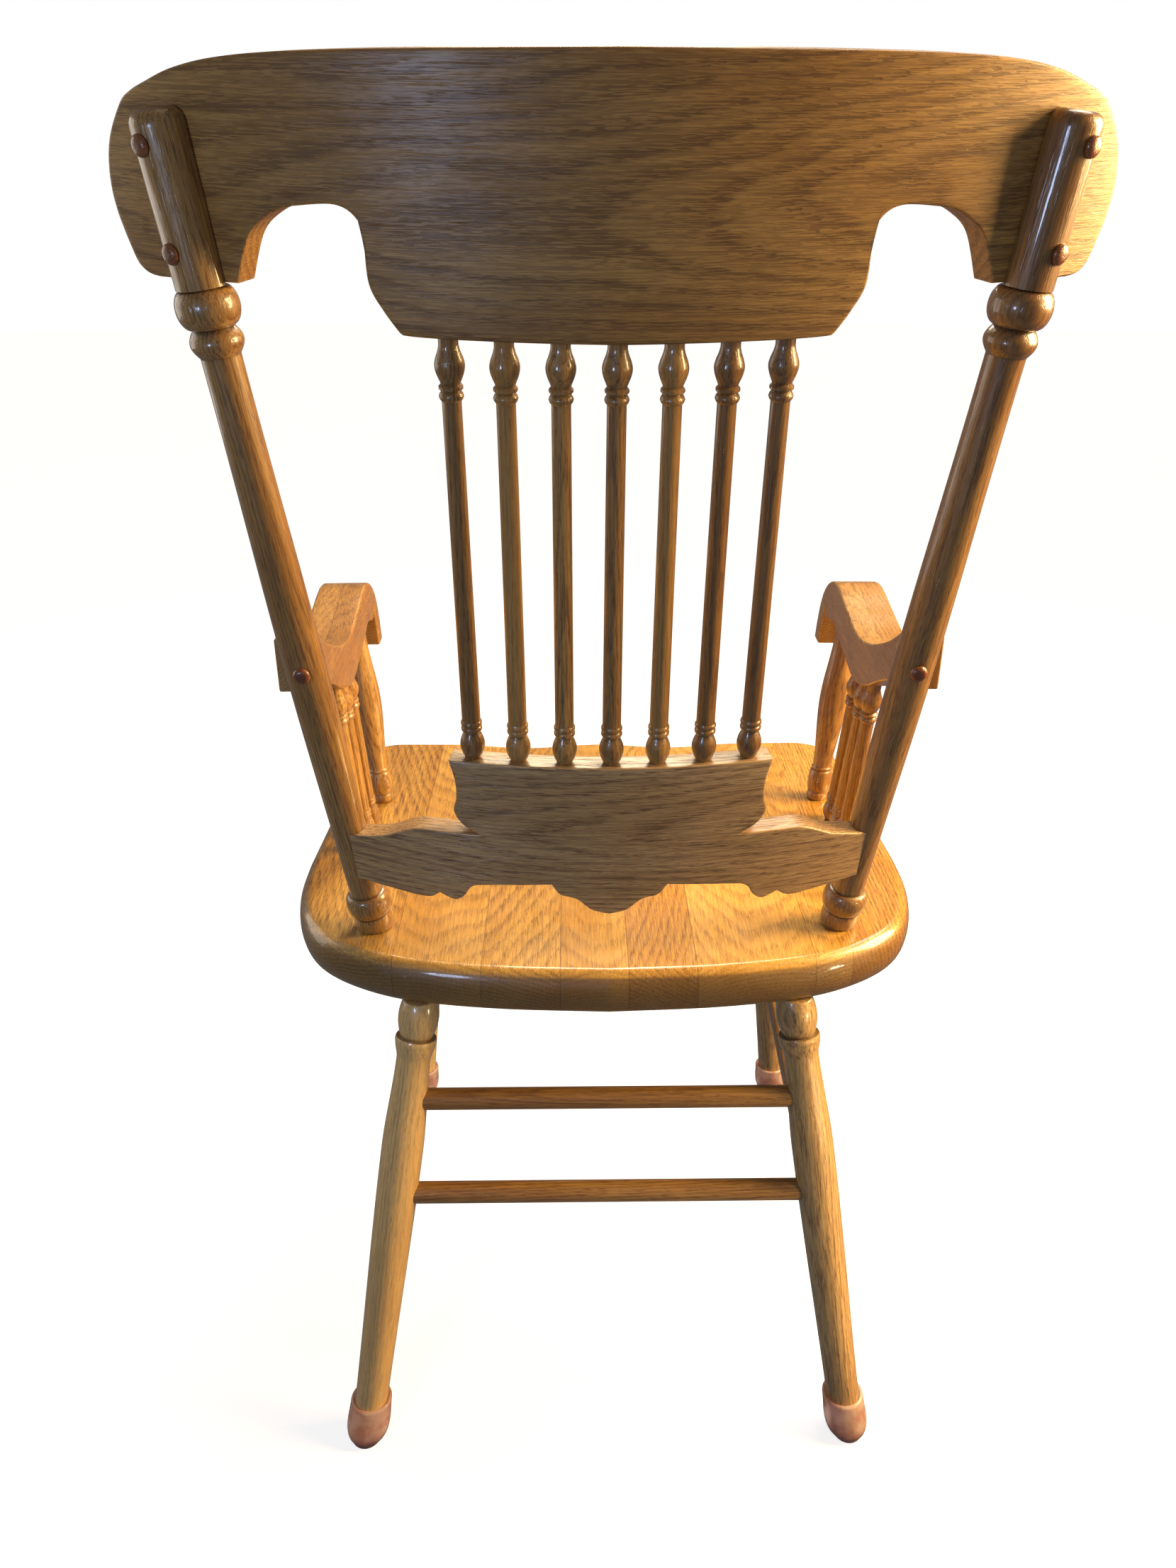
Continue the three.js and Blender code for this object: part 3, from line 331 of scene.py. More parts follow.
def coons(bottom: Array, top: Array, left: Array, right: Array, reach: float = 1.0) -> Array:
    """A patch between four edges.

    It is the ruled surface from bottom to top, plus how far each end bows out from its chord. That
    bow fades evenly all the way to the other end, or with a square over a reach that is shorter.

    Args:
        bottom: Points from left to right.
        top: The same count of points from left to right.
        left: Points from bottom to top.
        right: The same count of points from bottom to top.
        reach: The share of the patch over which the shape of an end fades.

    Returns:
        A grid of points, rows from left to right and columns from bottom to top.
    """
    s = np.linspace(0, 1, len(bottom))[:, None, None]
    t = np.linspace(0, 1, len(left))[None, :, None]
    power = 1 if reach == 1.0 else 2
    upward = (1 - t) * bottom[:, None] + t * top[:, None]
    left_bow = left[None] - ((1 - t) * bottom[0] + t * top[0])
    right_bow = right[None] - ((1 - t) * bottom[-1] + t * top[-1])
    left_share = np.clip(1 - s / reach, 0, 1) ** power
    right_share = np.clip(1 - (1 - s) / reach, 0, 1) ** power
    return upward + left_share * left_bow + right_share * right_bow


class Outline:
    """A closed outline in named stretches, which keep their places when it is drawn in."""

    def __init__(self, stretches: dict[str, Array]) -> None:
        """Joins the stretches end to end.

        Args:
            stretches: Each one's points, starting where the one before it ends.
        """
        self.places: dict[str, Array] = {}
        pieces, start = [], 0
        total = sum(len(points) - 1 for points in stretches.values())
        for name, points in stretches.items():
            pieces.append(points[:-1])
            self.places[name] = np.arange(start, start + len(points)) % total
            start += len(points) - 1
        self.loop = np.concatenate(pieces)

    def normals(self) -> Array:
        """Outward mitre directions, longer at a corner so that both of its edges move alike.

        Returns:
            One direction for each point of the loop.
        """
        ahead = np.roll(self.loop, -1, axis=0)
        forward = ahead - self.loop
        forward /= np.linalg.norm(forward, axis=1)[:, None]
        square = np.stack([forward[:, 1], -forward[:, 0]], axis=1)
        both = square + np.roll(square, 1, axis=0)
        both /= np.linalg.norm(both, axis=1)[:, None]
        slant = np.clip((both * square).sum(1), LEAST_SLANT, 1)
        turning = self.loop[:, 0] * ahead[:, 1] - ahead[:, 0] * self.loop[:, 1]
        outward = np.sign(turning.sum())
        return outward * both / slant[:, None]

    def stretch(self, loop: Array, *names: str, back: bool = False) -> Array:
        """The points of one or more stretches, in order or backwards.

        Args:
            loop: The outline, or one drawn in from it.
            names: The stretches in order.
            back: Whether they are walked backwards.

        Returns:
            The points.
        """
        parts = [loop[self.places[name]] for name in names]
        joined = np.concatenate([part[:-1] for part in parts[:-1]] + [parts[-1]])
        return joined[::-1] if back else joined


def mirrored_outline(half: dict[str, Array]) -> Outline:
    """A board's outline from its right half, given from the middle of its top to its bottom's.

    Args:
        half: The stretches of the right half by name, in order.

    Returns:
        The whole outline.
    """
    stretches = {f"{name}_right": points for name, points in half.items()}
    for name, points in reversed(half.items()):
        stretches[f"{name}_left"] = points[::-1] * (-1, 1)
    return Outline(stretches)


def edge_band(outline: Outline, thickness: float, round_radius: float) -> tuple[Array, Array]:
    """The edge of a sawn board, with both arrises rounded.

    From each face a quarter circle carries the outline outwards and inwards to the board's middle.

    Args:
        outline: The board's outline.
        thickness: The board's thickness.
        round_radius: The radius of the rounded arrises.

    Returns:
        A grid of points as across, up and depth, and how worn each is.
    """
    angle = np.linspace(0, math.pi / 2, ROUND_STEPS)
    inset = round_radius * (1 - np.sin(angle))
    depth = -thickness / 2 + round_radius * (1 - np.cos(angle))
    middle = np.linspace(depth[-1], -depth[-1], EDGE_STEPS)[1:-1]
    insets = np.concatenate([inset, 0 * middle, inset[::-1]])
    depths = np.concatenate([depth, middle, -depth[::-1]])
    flat = outline.loop[None] - insets[:, None, None] * outline.normals()[None]
    deep = np.broadcast_to(depths[:, None, None], flat.shape[:2] + (1,))
    grid = np.concatenate([flat, deep], axis=2)
    worn = np.concatenate([np.sin(2 * angle), 0 * middle, np.sin(2 * angle)[::-1]])
    return grid, np.broadcast_to(worn[:, None], flat.shape[:2])


def aimed(foot: Array, along: Array, spin: float = 0.0) -> Placing:
    """How a turned piece is stood on a point, with its axis along a direction.

    Args:
        foot: Where the piece's own origin goes.
        along: The unit direction of its axis.
        spin: How far it is turned about its axis.

    Returns:
        A function from the piece's own points to the part's frame.
    """
    turned = Matrix.Rotation(spin, 3, "Z")
    basis = np.array(Vector((0, 0, 1)).rotation_difference(Vector(along)).to_matrix() @ turned)
    return lambda local: local @ basis.T + foot


def level_between(placing: Placing, low: float | None = None, high: float | None = None) -> Placing:
    """Trims what a placing puts out to a lowest and a highest level.

    Args:
        placing: The placing that is trimmed.
        low: The lowest level.
        high: The highest level.

    Returns:
        The new placing.
    """

    def trimmed(local: Array) -> Array:
        """The placed points, none beyond the levels."""
        placed = placing(local)
        placed[..., 2] = np.clip(placed[..., 2], low, high)
        return placed

    return trimmed


def coped(placing: Placing, foot: Array, along: Array, profile: Array) -> Placing:
    """Hollows what a placing puts out round a turned piece that it meets.

    A point inside the turned piece goes straight out from its axis to its surface.

    Args:
        placing: The placing of the piece that is hollowed.
        foot: The foot of the turned piece.
        along: The unit direction of its axis.
        profile: Its profile.

    Returns:
        The new placing.
    """
    ends = np.flatnonzero(np.diff(profile[:, 1]) > 0)

    def hollowed(local: Array) -> Array:
        """The placed points, none inside the turned piece."""
        placed = placing(local)
        height = (placed - foot) @ along
        nearest = foot + height[..., None] * along
        away = placed - nearest
        distance = np.linalg.norm(away, axis=-1)
        radius = np.interp(height, profile[ends, 1], profile[ends, 0]) + FIT
        grow = np.where(distance < radius, radius / np.maximum(distance, FIT), 1.0)
        return nearest + away * grow[..., None]

    return hollowed


class Skin:
    """A piece's surface, gathered from grids and closed by merging the points that they share."""

    def __init__(self, name: str) -> None:
        """Starts a piece.

        Args:
            name: The name of the finished object.
        """
        self.name = name
        self.points: list[Array] = []
        self.wear: list[Array] = []
        self.faces: list[Array] = []
        self.count = 0

    def add(self, grid: Array, wear: Array | float = 0.0, wrap: bool = False) -> None:
        """Adds a grid of points in the piece's own axes.

        Args:
            grid: The points, rows by columns by three.
            wear: How worn each point is, from -1 in a groove to 1 on a rubbed edge; on the seat's
                edge the negative values are partly painted shade.
            wrap: Whether the last column meets the first.
        """
        rows, columns = grid.shape[:2]
        index = np.arange(rows * columns).reshape(rows, columns) + self.count
        if wrap:
            index = np.concatenate([index, index[:, :1]], axis=1)
        corners = [index[:-1, :-1], index[:-1, 1:], index[1:, 1:], index[1:, :-1]]
        self.faces.append(np.stack(corners, axis=-1).reshape(-1, 4))
        self.points.append(grid.reshape(-1, 3))
        self.wear.append(np.broadcast_to(wear, (rows, columns)).reshape(-1))
        self.count += rows * columns

    def finish(
        self,
        placing: Placing,
        grain_axes: tuple[int, int, int],
        grain_offset: Sequence[float],
        sharp: float = 38.0,
        tone: float = 0.0,
    ) -> bpy.types.Object:
        """Places the surface and makes it an object.

        Args:
            placing: From the piece's own points to the part's frame.
            grain_axes: Which of the piece's own axes run along, across and through the grain.
            grain_offset: Where in the tree the piece was cut from, added to its grain coordinates.
            sharp: The angle in degrees past which an edge is left sharp.
            tone: How much paler, or where negative deeper, its timber is than its neighbours'; on
                the legs it is painted light and painted shade.

        Returns:
            The finished object, at the origin.
        """
        local = np.concatenate(self.points)
        mesh = bpy.data.meshes.new(self.name)
        mesh.from_pydata(placing(local), [], np.concatenate(self.faces))
        grain = mesh.attributes.new(GRAIN, "FLOAT_VECTOR", "POINT")
        grain.data.foreach_set("vector", (local[:, grain_axes] + np.array(grain_offset)).ravel())
        wear = mesh.attributes.new(WEAR, "FLOAT", "POINT")
        wear.data.foreach_set("value", np.concatenate(self.wear))
        tones = mesh.attributes.new(TONE, "FLOAT", "POINT")
        tones.data.foreach_set("value", np.full(len(local), tone))
        close_mesh(mesh)
        mesh.shade_smooth()
        mesh.set_sharp_from_angle(angle=math.radians(sharp))
        made = bpy.data.objects.new(self.name, mesh)
        bpy.context.scene.collection.objects.link(made)
        return made


def close_mesh(mesh: bpy.types.Mesh) -> None:
    """Merges the points that lie together, drops flat faces and turns every face outwards.

    Args:
        mesh: The mesh that is closed.
    """
    body = bmesh.new()
    body.from_mesh(mesh)
    bmesh.ops.remove_doubles(body, verts=body.verts, dist=WELD)
    bmesh.ops.dissolve_degenerate(body, dist=WELD, edges=body.edges)
    bmesh.ops.recalc_face_normals(body, faces=body.faces)
    body.to_mesh(mesh)
    body.free()


# Materials

FLOAT, VECTOR, COLOUR = "NodeSocketFloat", "NodeSocketVector", "NodeSocketColor"


@dataclass(frozen=True)
class Pattern:
    """A noise that is drawn out along the grain.

    Args:
        along: How many of its features lie in a metre along the grain.
        across: How many lie in a metre across it.
        detail: How many finer layers it has.
        rough: How strong each finer layer is.
    """

    along: float
    across: float
    detail: float
    rough: float


# Of the timber
DRIFT = Pattern(2.6, 11.0, 2.0, 0.45)
RIPPLE = Pattern(18.0, 120.0, 3.0, 0.6)
SHORT_PORES = Pattern(90.0, 1250.0, 1.0, 0.5)
LONG_PORES = Pattern(22.0, 980.0, 2.0, 0.6)
BROAD_TONE = Pattern(2.2, 14.0, 3.0, 0.55)
FIBRE = Pattern(14.0, 520.0, 3.0, 0.66)
RIPPLE_DEPTH = 0.7
EARLY_WOOD_ENDS, EARLY_WOOD_STARTS = 0.6, 0.8
FAINTEST_RING = 0.2
LATE_PORES = 0.5
SHORT_PORE_EDGE = (0.52, 0.60)
LONG_PORE_EDGE = (0.53, 0.61)
TINT_EDGE = (0.36, 0.66)
FIBRE_TINT = 0.3
FIBRE_RELIEF = 0.35

# Of the finish
RUBBED_PATCHES = Pattern(35.0, 90.0, 3.0, 0.6)
SMEARS = Pattern(16.0, 24.0, 4.0, 0.62)
PATCH_EDGE = (0.4, 0.62)
SMEAR_EDGE = (0.35, 0.7)
GROOVE_EDGE = (0.08, 1.0)
GROOVE_SHARE, GROOVE_SHADE = 0.62, 0.62
RUBBED_EDGE = (0.2, 1.0)
RUBBED_SHARE = 0.2
SMEAR_HAZE = 0.12
GROOVE_HAZE = 0.1
GLUE_LINE = (0.0001, 0.0006)
GLUE_SHADE = 0.55
RELIEF_DISTANCE = 0.0004

# Of the feet and the screws
CLOUD_EDGE = SPANGLE_EDGE = (0.35, 0.65)
WOOL_EDGE = (0.35, 0.7)
NAP_DISTANCE = 0.0006
CLOUDS = Pattern(60.0, 60.0, 3.0, 0.55)
SCUFFS = Pattern(420.0, 420.0, 2.0, 0.5)
WOOL = Pattern(900.0, 1500.0, 4.0, 0.7)
DIRT = Pattern(90.0, 90.0, 3.0, 0.6)
SPANGLE = Pattern(500.0, 500.0, 3.0, 0.6)


class Tree:
    """Short calls for laying nodes in a node tree."""

    def __init__(self, tree: bpy.types.NodeTree) -> None:
        """Takes the tree of a material or of a group to work on."""
        self.tree = tree

    def feed(self, inputs: bpy.types.NodeInputs | dict, values: dict) -> None:
        """Sets each named or numbered input to its value, or links its socket to it.

        Args:
            inputs: The inputs of a node or of a group's end.
            values: Values or sockets, by name or number.
        """
        for name, value in values.items():
            if isinstance(value, bpy.types.NodeSocket):
                self.tree.links.new(value, inputs[name])
            else:
                inputs[name].default_value = value

    def add(
        self, kind: str, inputs: dict | None = None, **settings: object
    ) -> bpy.types.NodeOutputs:
        """Adds a node.

        Args:
            kind: The node's type.
            inputs: Values or sockets for its inputs, by name or number.
            settings: Values for its own settings.

        Returns:
            The node's output sockets.
        """
        node = self.tree.nodes.new(kind)
        for name, value in settings.items():
            setattr(node, name, value)
        self.feed(node.inputs, inputs or {})
        return node.outputs

    def maths(self, operation: str, *values: object, clamp: bool = False) -> bpy.types.NodeSocket:
        """The result of a sum on numbers or sockets."""
        inputs = dict(enumerate(values))
        return self.add("ShaderNodeMath", inputs, operation=operation, use_clamp=clamp)[0]

    def product(self, *values: object) -> bpy.types.NodeSocket:
        """The product of two numbers or sockets."""
        return self.maths("MULTIPLY", *values)

    def ramp(
        self, value: object, low: float, high: float, to_low: float = 0.0, to_high: float = 1.0
    ) -> bpy.types.NodeSocket:
        """A value carried smoothly from the range of low to high to another."""
        inputs = {0: value, 1: low, 2: high, 3: to_low, 4: to_high}
        return self.add("ShaderNodeMapRange", inputs, interpolation_type="SMOOTHSTEP")[0]

    def mix(self, share: object, first: object, second: object) -> bpy.types.NodeSocket:
        """A mix of two colours."""
        return self.add("ShaderNodeMix", {0: share, 6: first, 7: second}, data_type="RGBA")[2]

    def parts(self, vector: object) -> bpy.types.NodeOutputs:
        """The three parts of a vector."""
        return self.add("ShaderNodeSeparateXYZ", {0: vector})

    def noise(
        self, vector: object, pattern: Pattern, output: int | str = 0
    ) -> bpy.types.NodeSocket:
        """A pattern's noise at a place, as a value or as a colour.

        Args:
            vector: The place.
            pattern: The pattern.
            output: Which output of the noise it is.

        Returns:
            The output socket.
        """
        scale = (pattern.along, pattern.across, pattern.across)
        drawn = self.add("ShaderNodeVectorMath", {0: vector, 1: scale}, operation="MULTIPLY")[0]
        inputs = {"Vector": drawn, "Scale": 1.0}
        inputs |= {"Detail": pattern.detail, "Roughness": pattern.rough}
        return self.add("ShaderNodeTexNoise", inputs)[output]

    def bump(self, height: object, strength: float, distance: float) -> bpy.types.NodeSocket:
        """The normals of a surface that is raised by a height."""
        inputs = {"Height": height, "Strength": strength, "Distance": distance}
        return self.add("ShaderNodeBump", inputs)[0]

    def attribute(self, name: str, output: str = "Fac") -> bpy.types.NodeSocket:
        """Reads one of a piece's own attributes."""
        return self.add("ShaderNodeAttribute", attribute_name=name)[output]

    def place(self) -> bpy.types.NodeSocket:
        """The place of a point on the piece."""
        return self.add("ShaderNodeTexCoord")["Object"]


def rgba(colour: Colour) -> tuple[float, float, float, float]:
    """A colour given as screen values from 0 to 255, made linear and opaque.

    Args:
        colour: Red, green and blue.

    Returns:
        The same with an alpha of 1.
    """
    share = np.array(colour) / 255
    linear = np.where(share <= 0.04045, share / 12.92, ((share + 0.055) / 1.055) ** 2.4)
    return (*(float(value) for value in linear), 1.0)


def new_material(name: str) -> tuple[bpy.types.Material, Tree, bpy.types.Node]:
    """Starts a material, and gives it with its tree and its shader.

    Args:
        name: The material's name.

    Returns:
        The material, its tree and its shader.
    """
    material = bpy.data.materials.new(name)
    material.use_nodes = True
    tree = material.node_tree
    return material, Tree(tree), tree.nodes["Principled BSDF"]


def new_group(
    name: str, inputs: dict[str, str], outputs: dict[str, str]
) -> tuple[Tree, dict, dict]:
    """Starts a shader node group.

    Args:
        name: The group's name.
        inputs: The socket type of each input.
        outputs: The socket type of each output.

    Returns:
        Its tree, the sockets that it is given and the sockets that it puts out, by name.
    """
    group = bpy.data.node_groups.new(name, "ShaderNodeTree")
    for way, sockets in {"INPUT": inputs, "OUTPUT": outputs}.items():
        for title, kind in sockets.items():
            group.interface.new_socket(title, in_out=way, socket_type=kind)
    start = group.nodes.new("NodeGroupInput")
    end = group.nodes.new("NodeGroupOutput")
    return Tree(group), {t: start.outputs[t] for t in inputs}, {t: end.inputs[t] for t in outputs}


def oak_grain_group() -> bpy.types.NodeTree:
    """Oak as a solid block: growth rings round a wandering pith, open pores and fibre.

    The ring that a point is in is its distance from the pith, which leans and wanders along the
    grain, divided by the ring spacing. Pores are long thin spots, denser where a ring starts.

    Returns:
        The group, with colour and height out.
    """
    inputs = dict.fromkeys(("Ring Spacing", "Pith Lean", "Wander"), FLOAT)
    inputs |= dict.fromkeys(("Ring Strength", "Pore Strength"), FLOAT)
    inputs |= {"Vector": VECTOR, "Light": COLOUR, "Middle": COLOUR, "Dark": COLOUR}
    tree, given, out = new_group("oak_grain", inputs, {"Colour": COLOUR, "Height": FLOAT})
    vector, dark = given["Vector"], given["Dark"]
    drift = tree.parts(tree.noise(vector, DRIFT, "Color"))
    shifts = [tree.product(tree.maths("SUBTRACT", drift[n], 0.5), given["Wander"]) for n in (0, 1)]
    place = tree.parts(vector)
    across = tree.maths("ADD", place[1], shifts[0])
    leaning = tree.maths("MULTIPLY_ADD", place[0], given["Pith Lean"], place[2])
    through = tree.maths("ADD", leaning, shifts[1])
    squares = tree.maths("MULTIPLY_ADD", through, through, tree.product(across, across))
    rings = tree.maths("DIVIDE", tree.maths("SQRT", squares), given["Ring Spacing"])
    age = tree.maths("MULTIPLY_ADD", tree.noise(vector, RIPPLE), RIPPLE_DEPTH, rings)
    season = tree.maths("FRACT", age)
    fading = tree.ramp(season, 0.0, EARLY_WOOD_ENDS, 1.0, 0.0)
    early = tree.maths("MAXIMUM", fading, tree.ramp(season, EARLY_WOOD_STARTS, 1.0))
    ring = tree.maths("FLOOR", age)
    chance = tree.add("ShaderNodeTexWhiteNoise", {"W": ring}, noise_dimensions="1D")
    year = tree.maths("MULTIPLY_ADD", chance[0], 1 - FAINTEST_RING, FAINTEST_RING)
    ring_mask = tree.product(tree.product(early, year), given["Ring Strength"])
    dense = tree.maths("MULTIPLY_ADD", early, 1 - LATE_PORES, LATE_PORES)
    pores = tree.maths(
        "MAXIMUM",
        tree.product(tree.ramp(tree.noise(vector, SHORT_PORES), *SHORT_PORE_EDGE), dense),
        tree.product(tree.ramp(tree.noise(vector, LONG_PORES), *LONG_PORE_EDGE), dense),
    )
    pore_mask = tree.maths("MULTIPLY", pores, given["Pore Strength"], clamp=True)
    fibre = tree.noise(vector, FIBRE)
    broad = tree.ramp(tree.noise(vector, BROAD_TONE), *TINT_EDGE)
    ground = tree.mix(broad, given["Light"], given["Middle"])
    ground = tree.mix(tree.ramp(fibre, *TINT_EDGE, 0.0, FIBRE_TINT), ground, dark)
    colour = tree.mix(pore_mask, tree.mix(ring_mask, ground, dark), dark)
    height = tree.maths("MULTIPLY_ADD", fibre, FIBRE_RELIEF, tree.product(pores, -1.0))
    tree.feed(out, {"Colour": colour, "Height": height})
    return tree.tree


def board_joint_group() -> bpy.types.NodeTree:
    """A glue line: past it the timber is another board, cut from elsewhere in the tree.

    Returns:
        The group, with the board's own grain vector, its tone and the line out.
    """
    inputs = dict.fromkeys(("Across", "Joint", "Tone", "Step"), FLOAT)
    inputs |= {"Vector": VECTOR, "Jump": VECTOR}
    outputs = {"Vector": VECTOR, "Tone": FLOAT, "Line": FLOAT}
    tree, given, out = new_group("board_joint", inputs, outputs)
    past = tree.maths("GREATER_THAN", given["Across"], given["Joint"])
    jump = tree.add("ShaderNodeVectorMath", {0: given["Jump"], "Scale": past}, operation="SCALE")[0]
    moved = tree.add("ShaderNodeVectorMath", {0: given["Vector"], 1: jump}, operation="ADD")[0]
    tone = tree.maths("MULTIPLY_ADD", past, given["Step"], given["Tone"])
    gap = tree.maths("ABSOLUTE", tree.maths("SUBTRACT", given["Across"], given["Joint"]))
    tree.feed(out, {"Vector": moved, "Tone": tone, "Line": tree.ramp(gap, *GLUE_LINE, 1.0, 0.0)})
    return tree.tree


def finish_wear_group() -> bpy.types.NodeTree:
    """Stain gathers in grooves, and handled edges rub paler in patches; on the seat's edge the same
    darkening is partly painted shade.

    Returns:
        The group, with the worn colour and a roughness out.
    """
    inputs = dict.fromkeys(("Colour", "Groove", "Rubbed"), COLOUR)
    inputs |= {"Vector": VECTOR, "Wear": FLOAT, "Gloss": FLOAT}
    tree, given, out = new_group("finish_wear", inputs, {"Colour": COLOUR, "Roughness": FLOAT})
    vector, wear = given["Vector"], given["Wear"]
    groove = tree.product(tree.ramp(tree.product(wear, -1.0), *GROOVE_EDGE), GROOVE_SHARE)
    patches = tree.ramp(tree.noise(vector, RUBBED_PATCHES), *PATCH_EDGE)
    rubbed = tree.product(tree.product(tree.ramp(wear, *RUBBED_EDGE), patches), RUBBED_SHARE)
    stained = tree.mix(groove, given["Colour"], given["Groove"])
    smeared = tree.ramp(tree.noise(vector, SMEARS), *SMEAR_EDGE)
    rough = tree.maths("MULTIPLY_ADD", smeared, SMEAR_HAZE, given["Gloss"])
    rough = tree.maths("MULTIPLY_ADD", groove, GROOVE_HAZE, rough)
    tree.feed(out, {"Colour": tree.mix(rubbed, stained, given["Rubbed"]), "Roughness": rough})
    return tree.tree


@dataclass(frozen=True)
class Joint:
    """A glue line: its place, and the next board's offset in the tree and change of tone."""

    place: float
    jump: tuple[float, float, float]
    step: float


@dataclass(frozen=True)
class OakFinish:
    """Stained and varnished oak.

    Args:
        name: The material's name.
        light: The palest timber.
        middle: The timber between the rings.
        dark: Rings and pores, where the stain gathers.
        ring_spacing: From one growth ring to the next.
        pith_lean: How far the pith leans, for each metre along the grain.
        wander: How far the pith wanders.
        ring_strength: How dark the rings are.
        pore_strength: How dark the pores are.
        gloss: The roughness of the polished timber.
        coat: How strong the varnish over it is.
        coat_haze: The roughness of the varnish, from a mirror to satin.
        relief: How deep the open grain shows through the varnish.
        joints: Glue lines across the grain.
    """

    name: str
    light: Colour = (200, 150, 80)
    middle: Colour = (178, 126, 58)
    dark: Colour = (96, 58, 28)
    ring_spacing: float = 0.0034
    pith_lean: float = 0.03
    wander: float = 0.016
    ring_strength: float = 0.3
    pore_strength: float = 0.6
    gloss: float = 0.30
    coat: float = 0.55
    coat_haze: float = 0.1
    relief: float = 0.24
    joints: tuple[Joint, ...] = ()

    def build(self, groups: dict[str, bpy.types.NodeTree]) -> bpy.types.Material:
        """Lays the nodes of the finish.

        Args:
            groups: The shared node groups by name.

        Returns:
            The material.
        """
        material, tree, shader = new_material(self.name)
        light, dark = rgba(self.light), rgba(self.dark)
        whole = vector = tree.attribute(GRAIN, "Vector")
        tone, lines = tree.attribute(TONE), []
        for joint in self.joints:
            inputs = {"Vector": vector, "Tone": tone, "Across": tree.parts(whole)[1]}
            inputs |= {"Joint": joint.place, "Jump": joint.jump, "Step": joint.step}
            board = tree.add("ShaderNodeGroup", inputs, node_tree=groups["board_joint"])
            vector, tone = board["Vector"], board["Tone"]
            lines.append(board["Line"])
        inputs = {
            "Vector": vector,
            "Ring Spacing": self.ring_spacing,
            "Pith Lean": self.pith_lean,
            "Wander": self.wander,
            "Ring Strength": self.ring_strength,
            "Pore Strength": self.pore_strength,
            "Light": light,
            "Middle": rgba(self.middle),
            "Dark": dark,
        }
        oak = tree.add("ShaderNodeGroup", inputs, node_tree=groups["oak_grain"])
        paler = tree.maths("MAXIMUM", tone, 0.0, clamp=True)
        deeper = tree.maths("MULTIPLY", tree.maths("MINIMUM", tone, 0.0), -1.0, clamp=True)
        colour = tree.mix(deeper, tree.mix(paler, oak["Colour"], light), dark)
        if lines:
            line = reduce(lambda near, far: tree.maths("MAXIMUM", near, far), lines)
            colour = tree.mix(tree.product(line, GLUE_SHADE), colour, dark)
        inputs = {
            "Colour": colour,
            "Wear": tree.attribute(WEAR),
            "Vector": vector,
            "Groove": rgba(tuple(value * GROOVE_SHADE for value in self.dark)),
            "Rubbed": light,
            "Gloss": self.gloss,
        }
        worn = tree.add("ShaderNodeGroup", inputs, node_tree=groups["finish_wear"])
        sunk = tree.ramp(tree.noise(whole, LONG_PORES), *LONG_PORE_EDGE, 0.0, -1.0)
        settings = {
            "Base Color": worn["Colour"],
            "Roughness": worn["Roughness"],
            "Normal": tree.bump(oak["Height"], self.relief, RELIEF_DISTANCE),
            "Coat Normal": tree.bump(sunk, self.relief, RELIEF_DISTANCE),
            "Coat Weight": self.coat,
            "Coat Roughness": self.coat_haze,
            "Coat IOR": 1.5,
        }
        tree.feed(shader.inputs, settings)
        return material


@dataclass(frozen=True)
class SiliconeFinish:
    """Clear, slightly hazed silicone with a warm cast, redder where the felt shows through it."""

    name: str = "clear_silicone"
    tint: Colour = (238, 208, 190)
    haze: Colour = (208, 160, 142)
    felt_seen: Colour = (150, 56, 52)
    felt_reach: float = 0.019
    felt_share: float = 0.8
    clearness: float = 0.6
    scuff_depth: float = 0.08

    def build(self) -> bpy.types.Material:
        """Lays the nodes of the finish.

        Returns:
            The material.
        """
        material, tree, shader = new_material(self.name)
        place = tree.place()
        cloudy = tree.ramp(tree.noise(place, CLOUDS), *CLOUD_EDGE)
        colour = tree.mix(cloudy, rgba(self.tint), rgba(self.haze))
        near_felt = tree.ramp(tree.parts(place)[2], 0.0, self.felt_reach, self.felt_share, 0.0)
        settings = {
            "Base Color": tree.mix(near_felt, colour, rgba(self.felt_seen)),
            "Roughness": tree.maths("MULTIPLY_ADD", cloudy, 0.08, 0.06),
            "Normal": tree.bump(tree.noise(place, SCUFFS), self.scuff_depth, RELIEF_DISTANCE),
            "Transmission Weight": self.clearness,
            "IOR": 1.41,
        }
        tree.feed(shader.inputs, settings)
        return material


@dataclass(frozen=True)
class FeltFinish:
    """Pressed wool felt, with loose fibres over a soft sheen."""

    name: str = "red_felt"
    deep: Colour = (96, 26, 26)
    worn: Colour = (150, 62, 56)
    nap: float = 0.7
    sheen: float = 0.5

    def build(self) -> bpy.types.Material:
        """Lays the nodes of the finish.

        Returns:
            The material.
        """
        material, tree, shader = new_material(self.name)
        place = tree.place()
        fibres = tree.noise(place, WOOL)
        share = tree.product(tree.ramp(fibres, *WOOL_EDGE), tree.noise(place, DIRT))
        settings = {
            "Base Color": tree.mix(share, rgba(self.deep), rgba(self.worn)),
            "Roughness": tree.ramp(fibres, 0.3, 0.7, 0.85, 1.0),
            "Normal": tree.bump(fibres, self.nap, NAP_DISTANCE),
            "Sheen Weight": self.sheen,
            "Sheen Roughness": 0.45,
        }
        tree.feed(shader.inputs, settings)
        return material


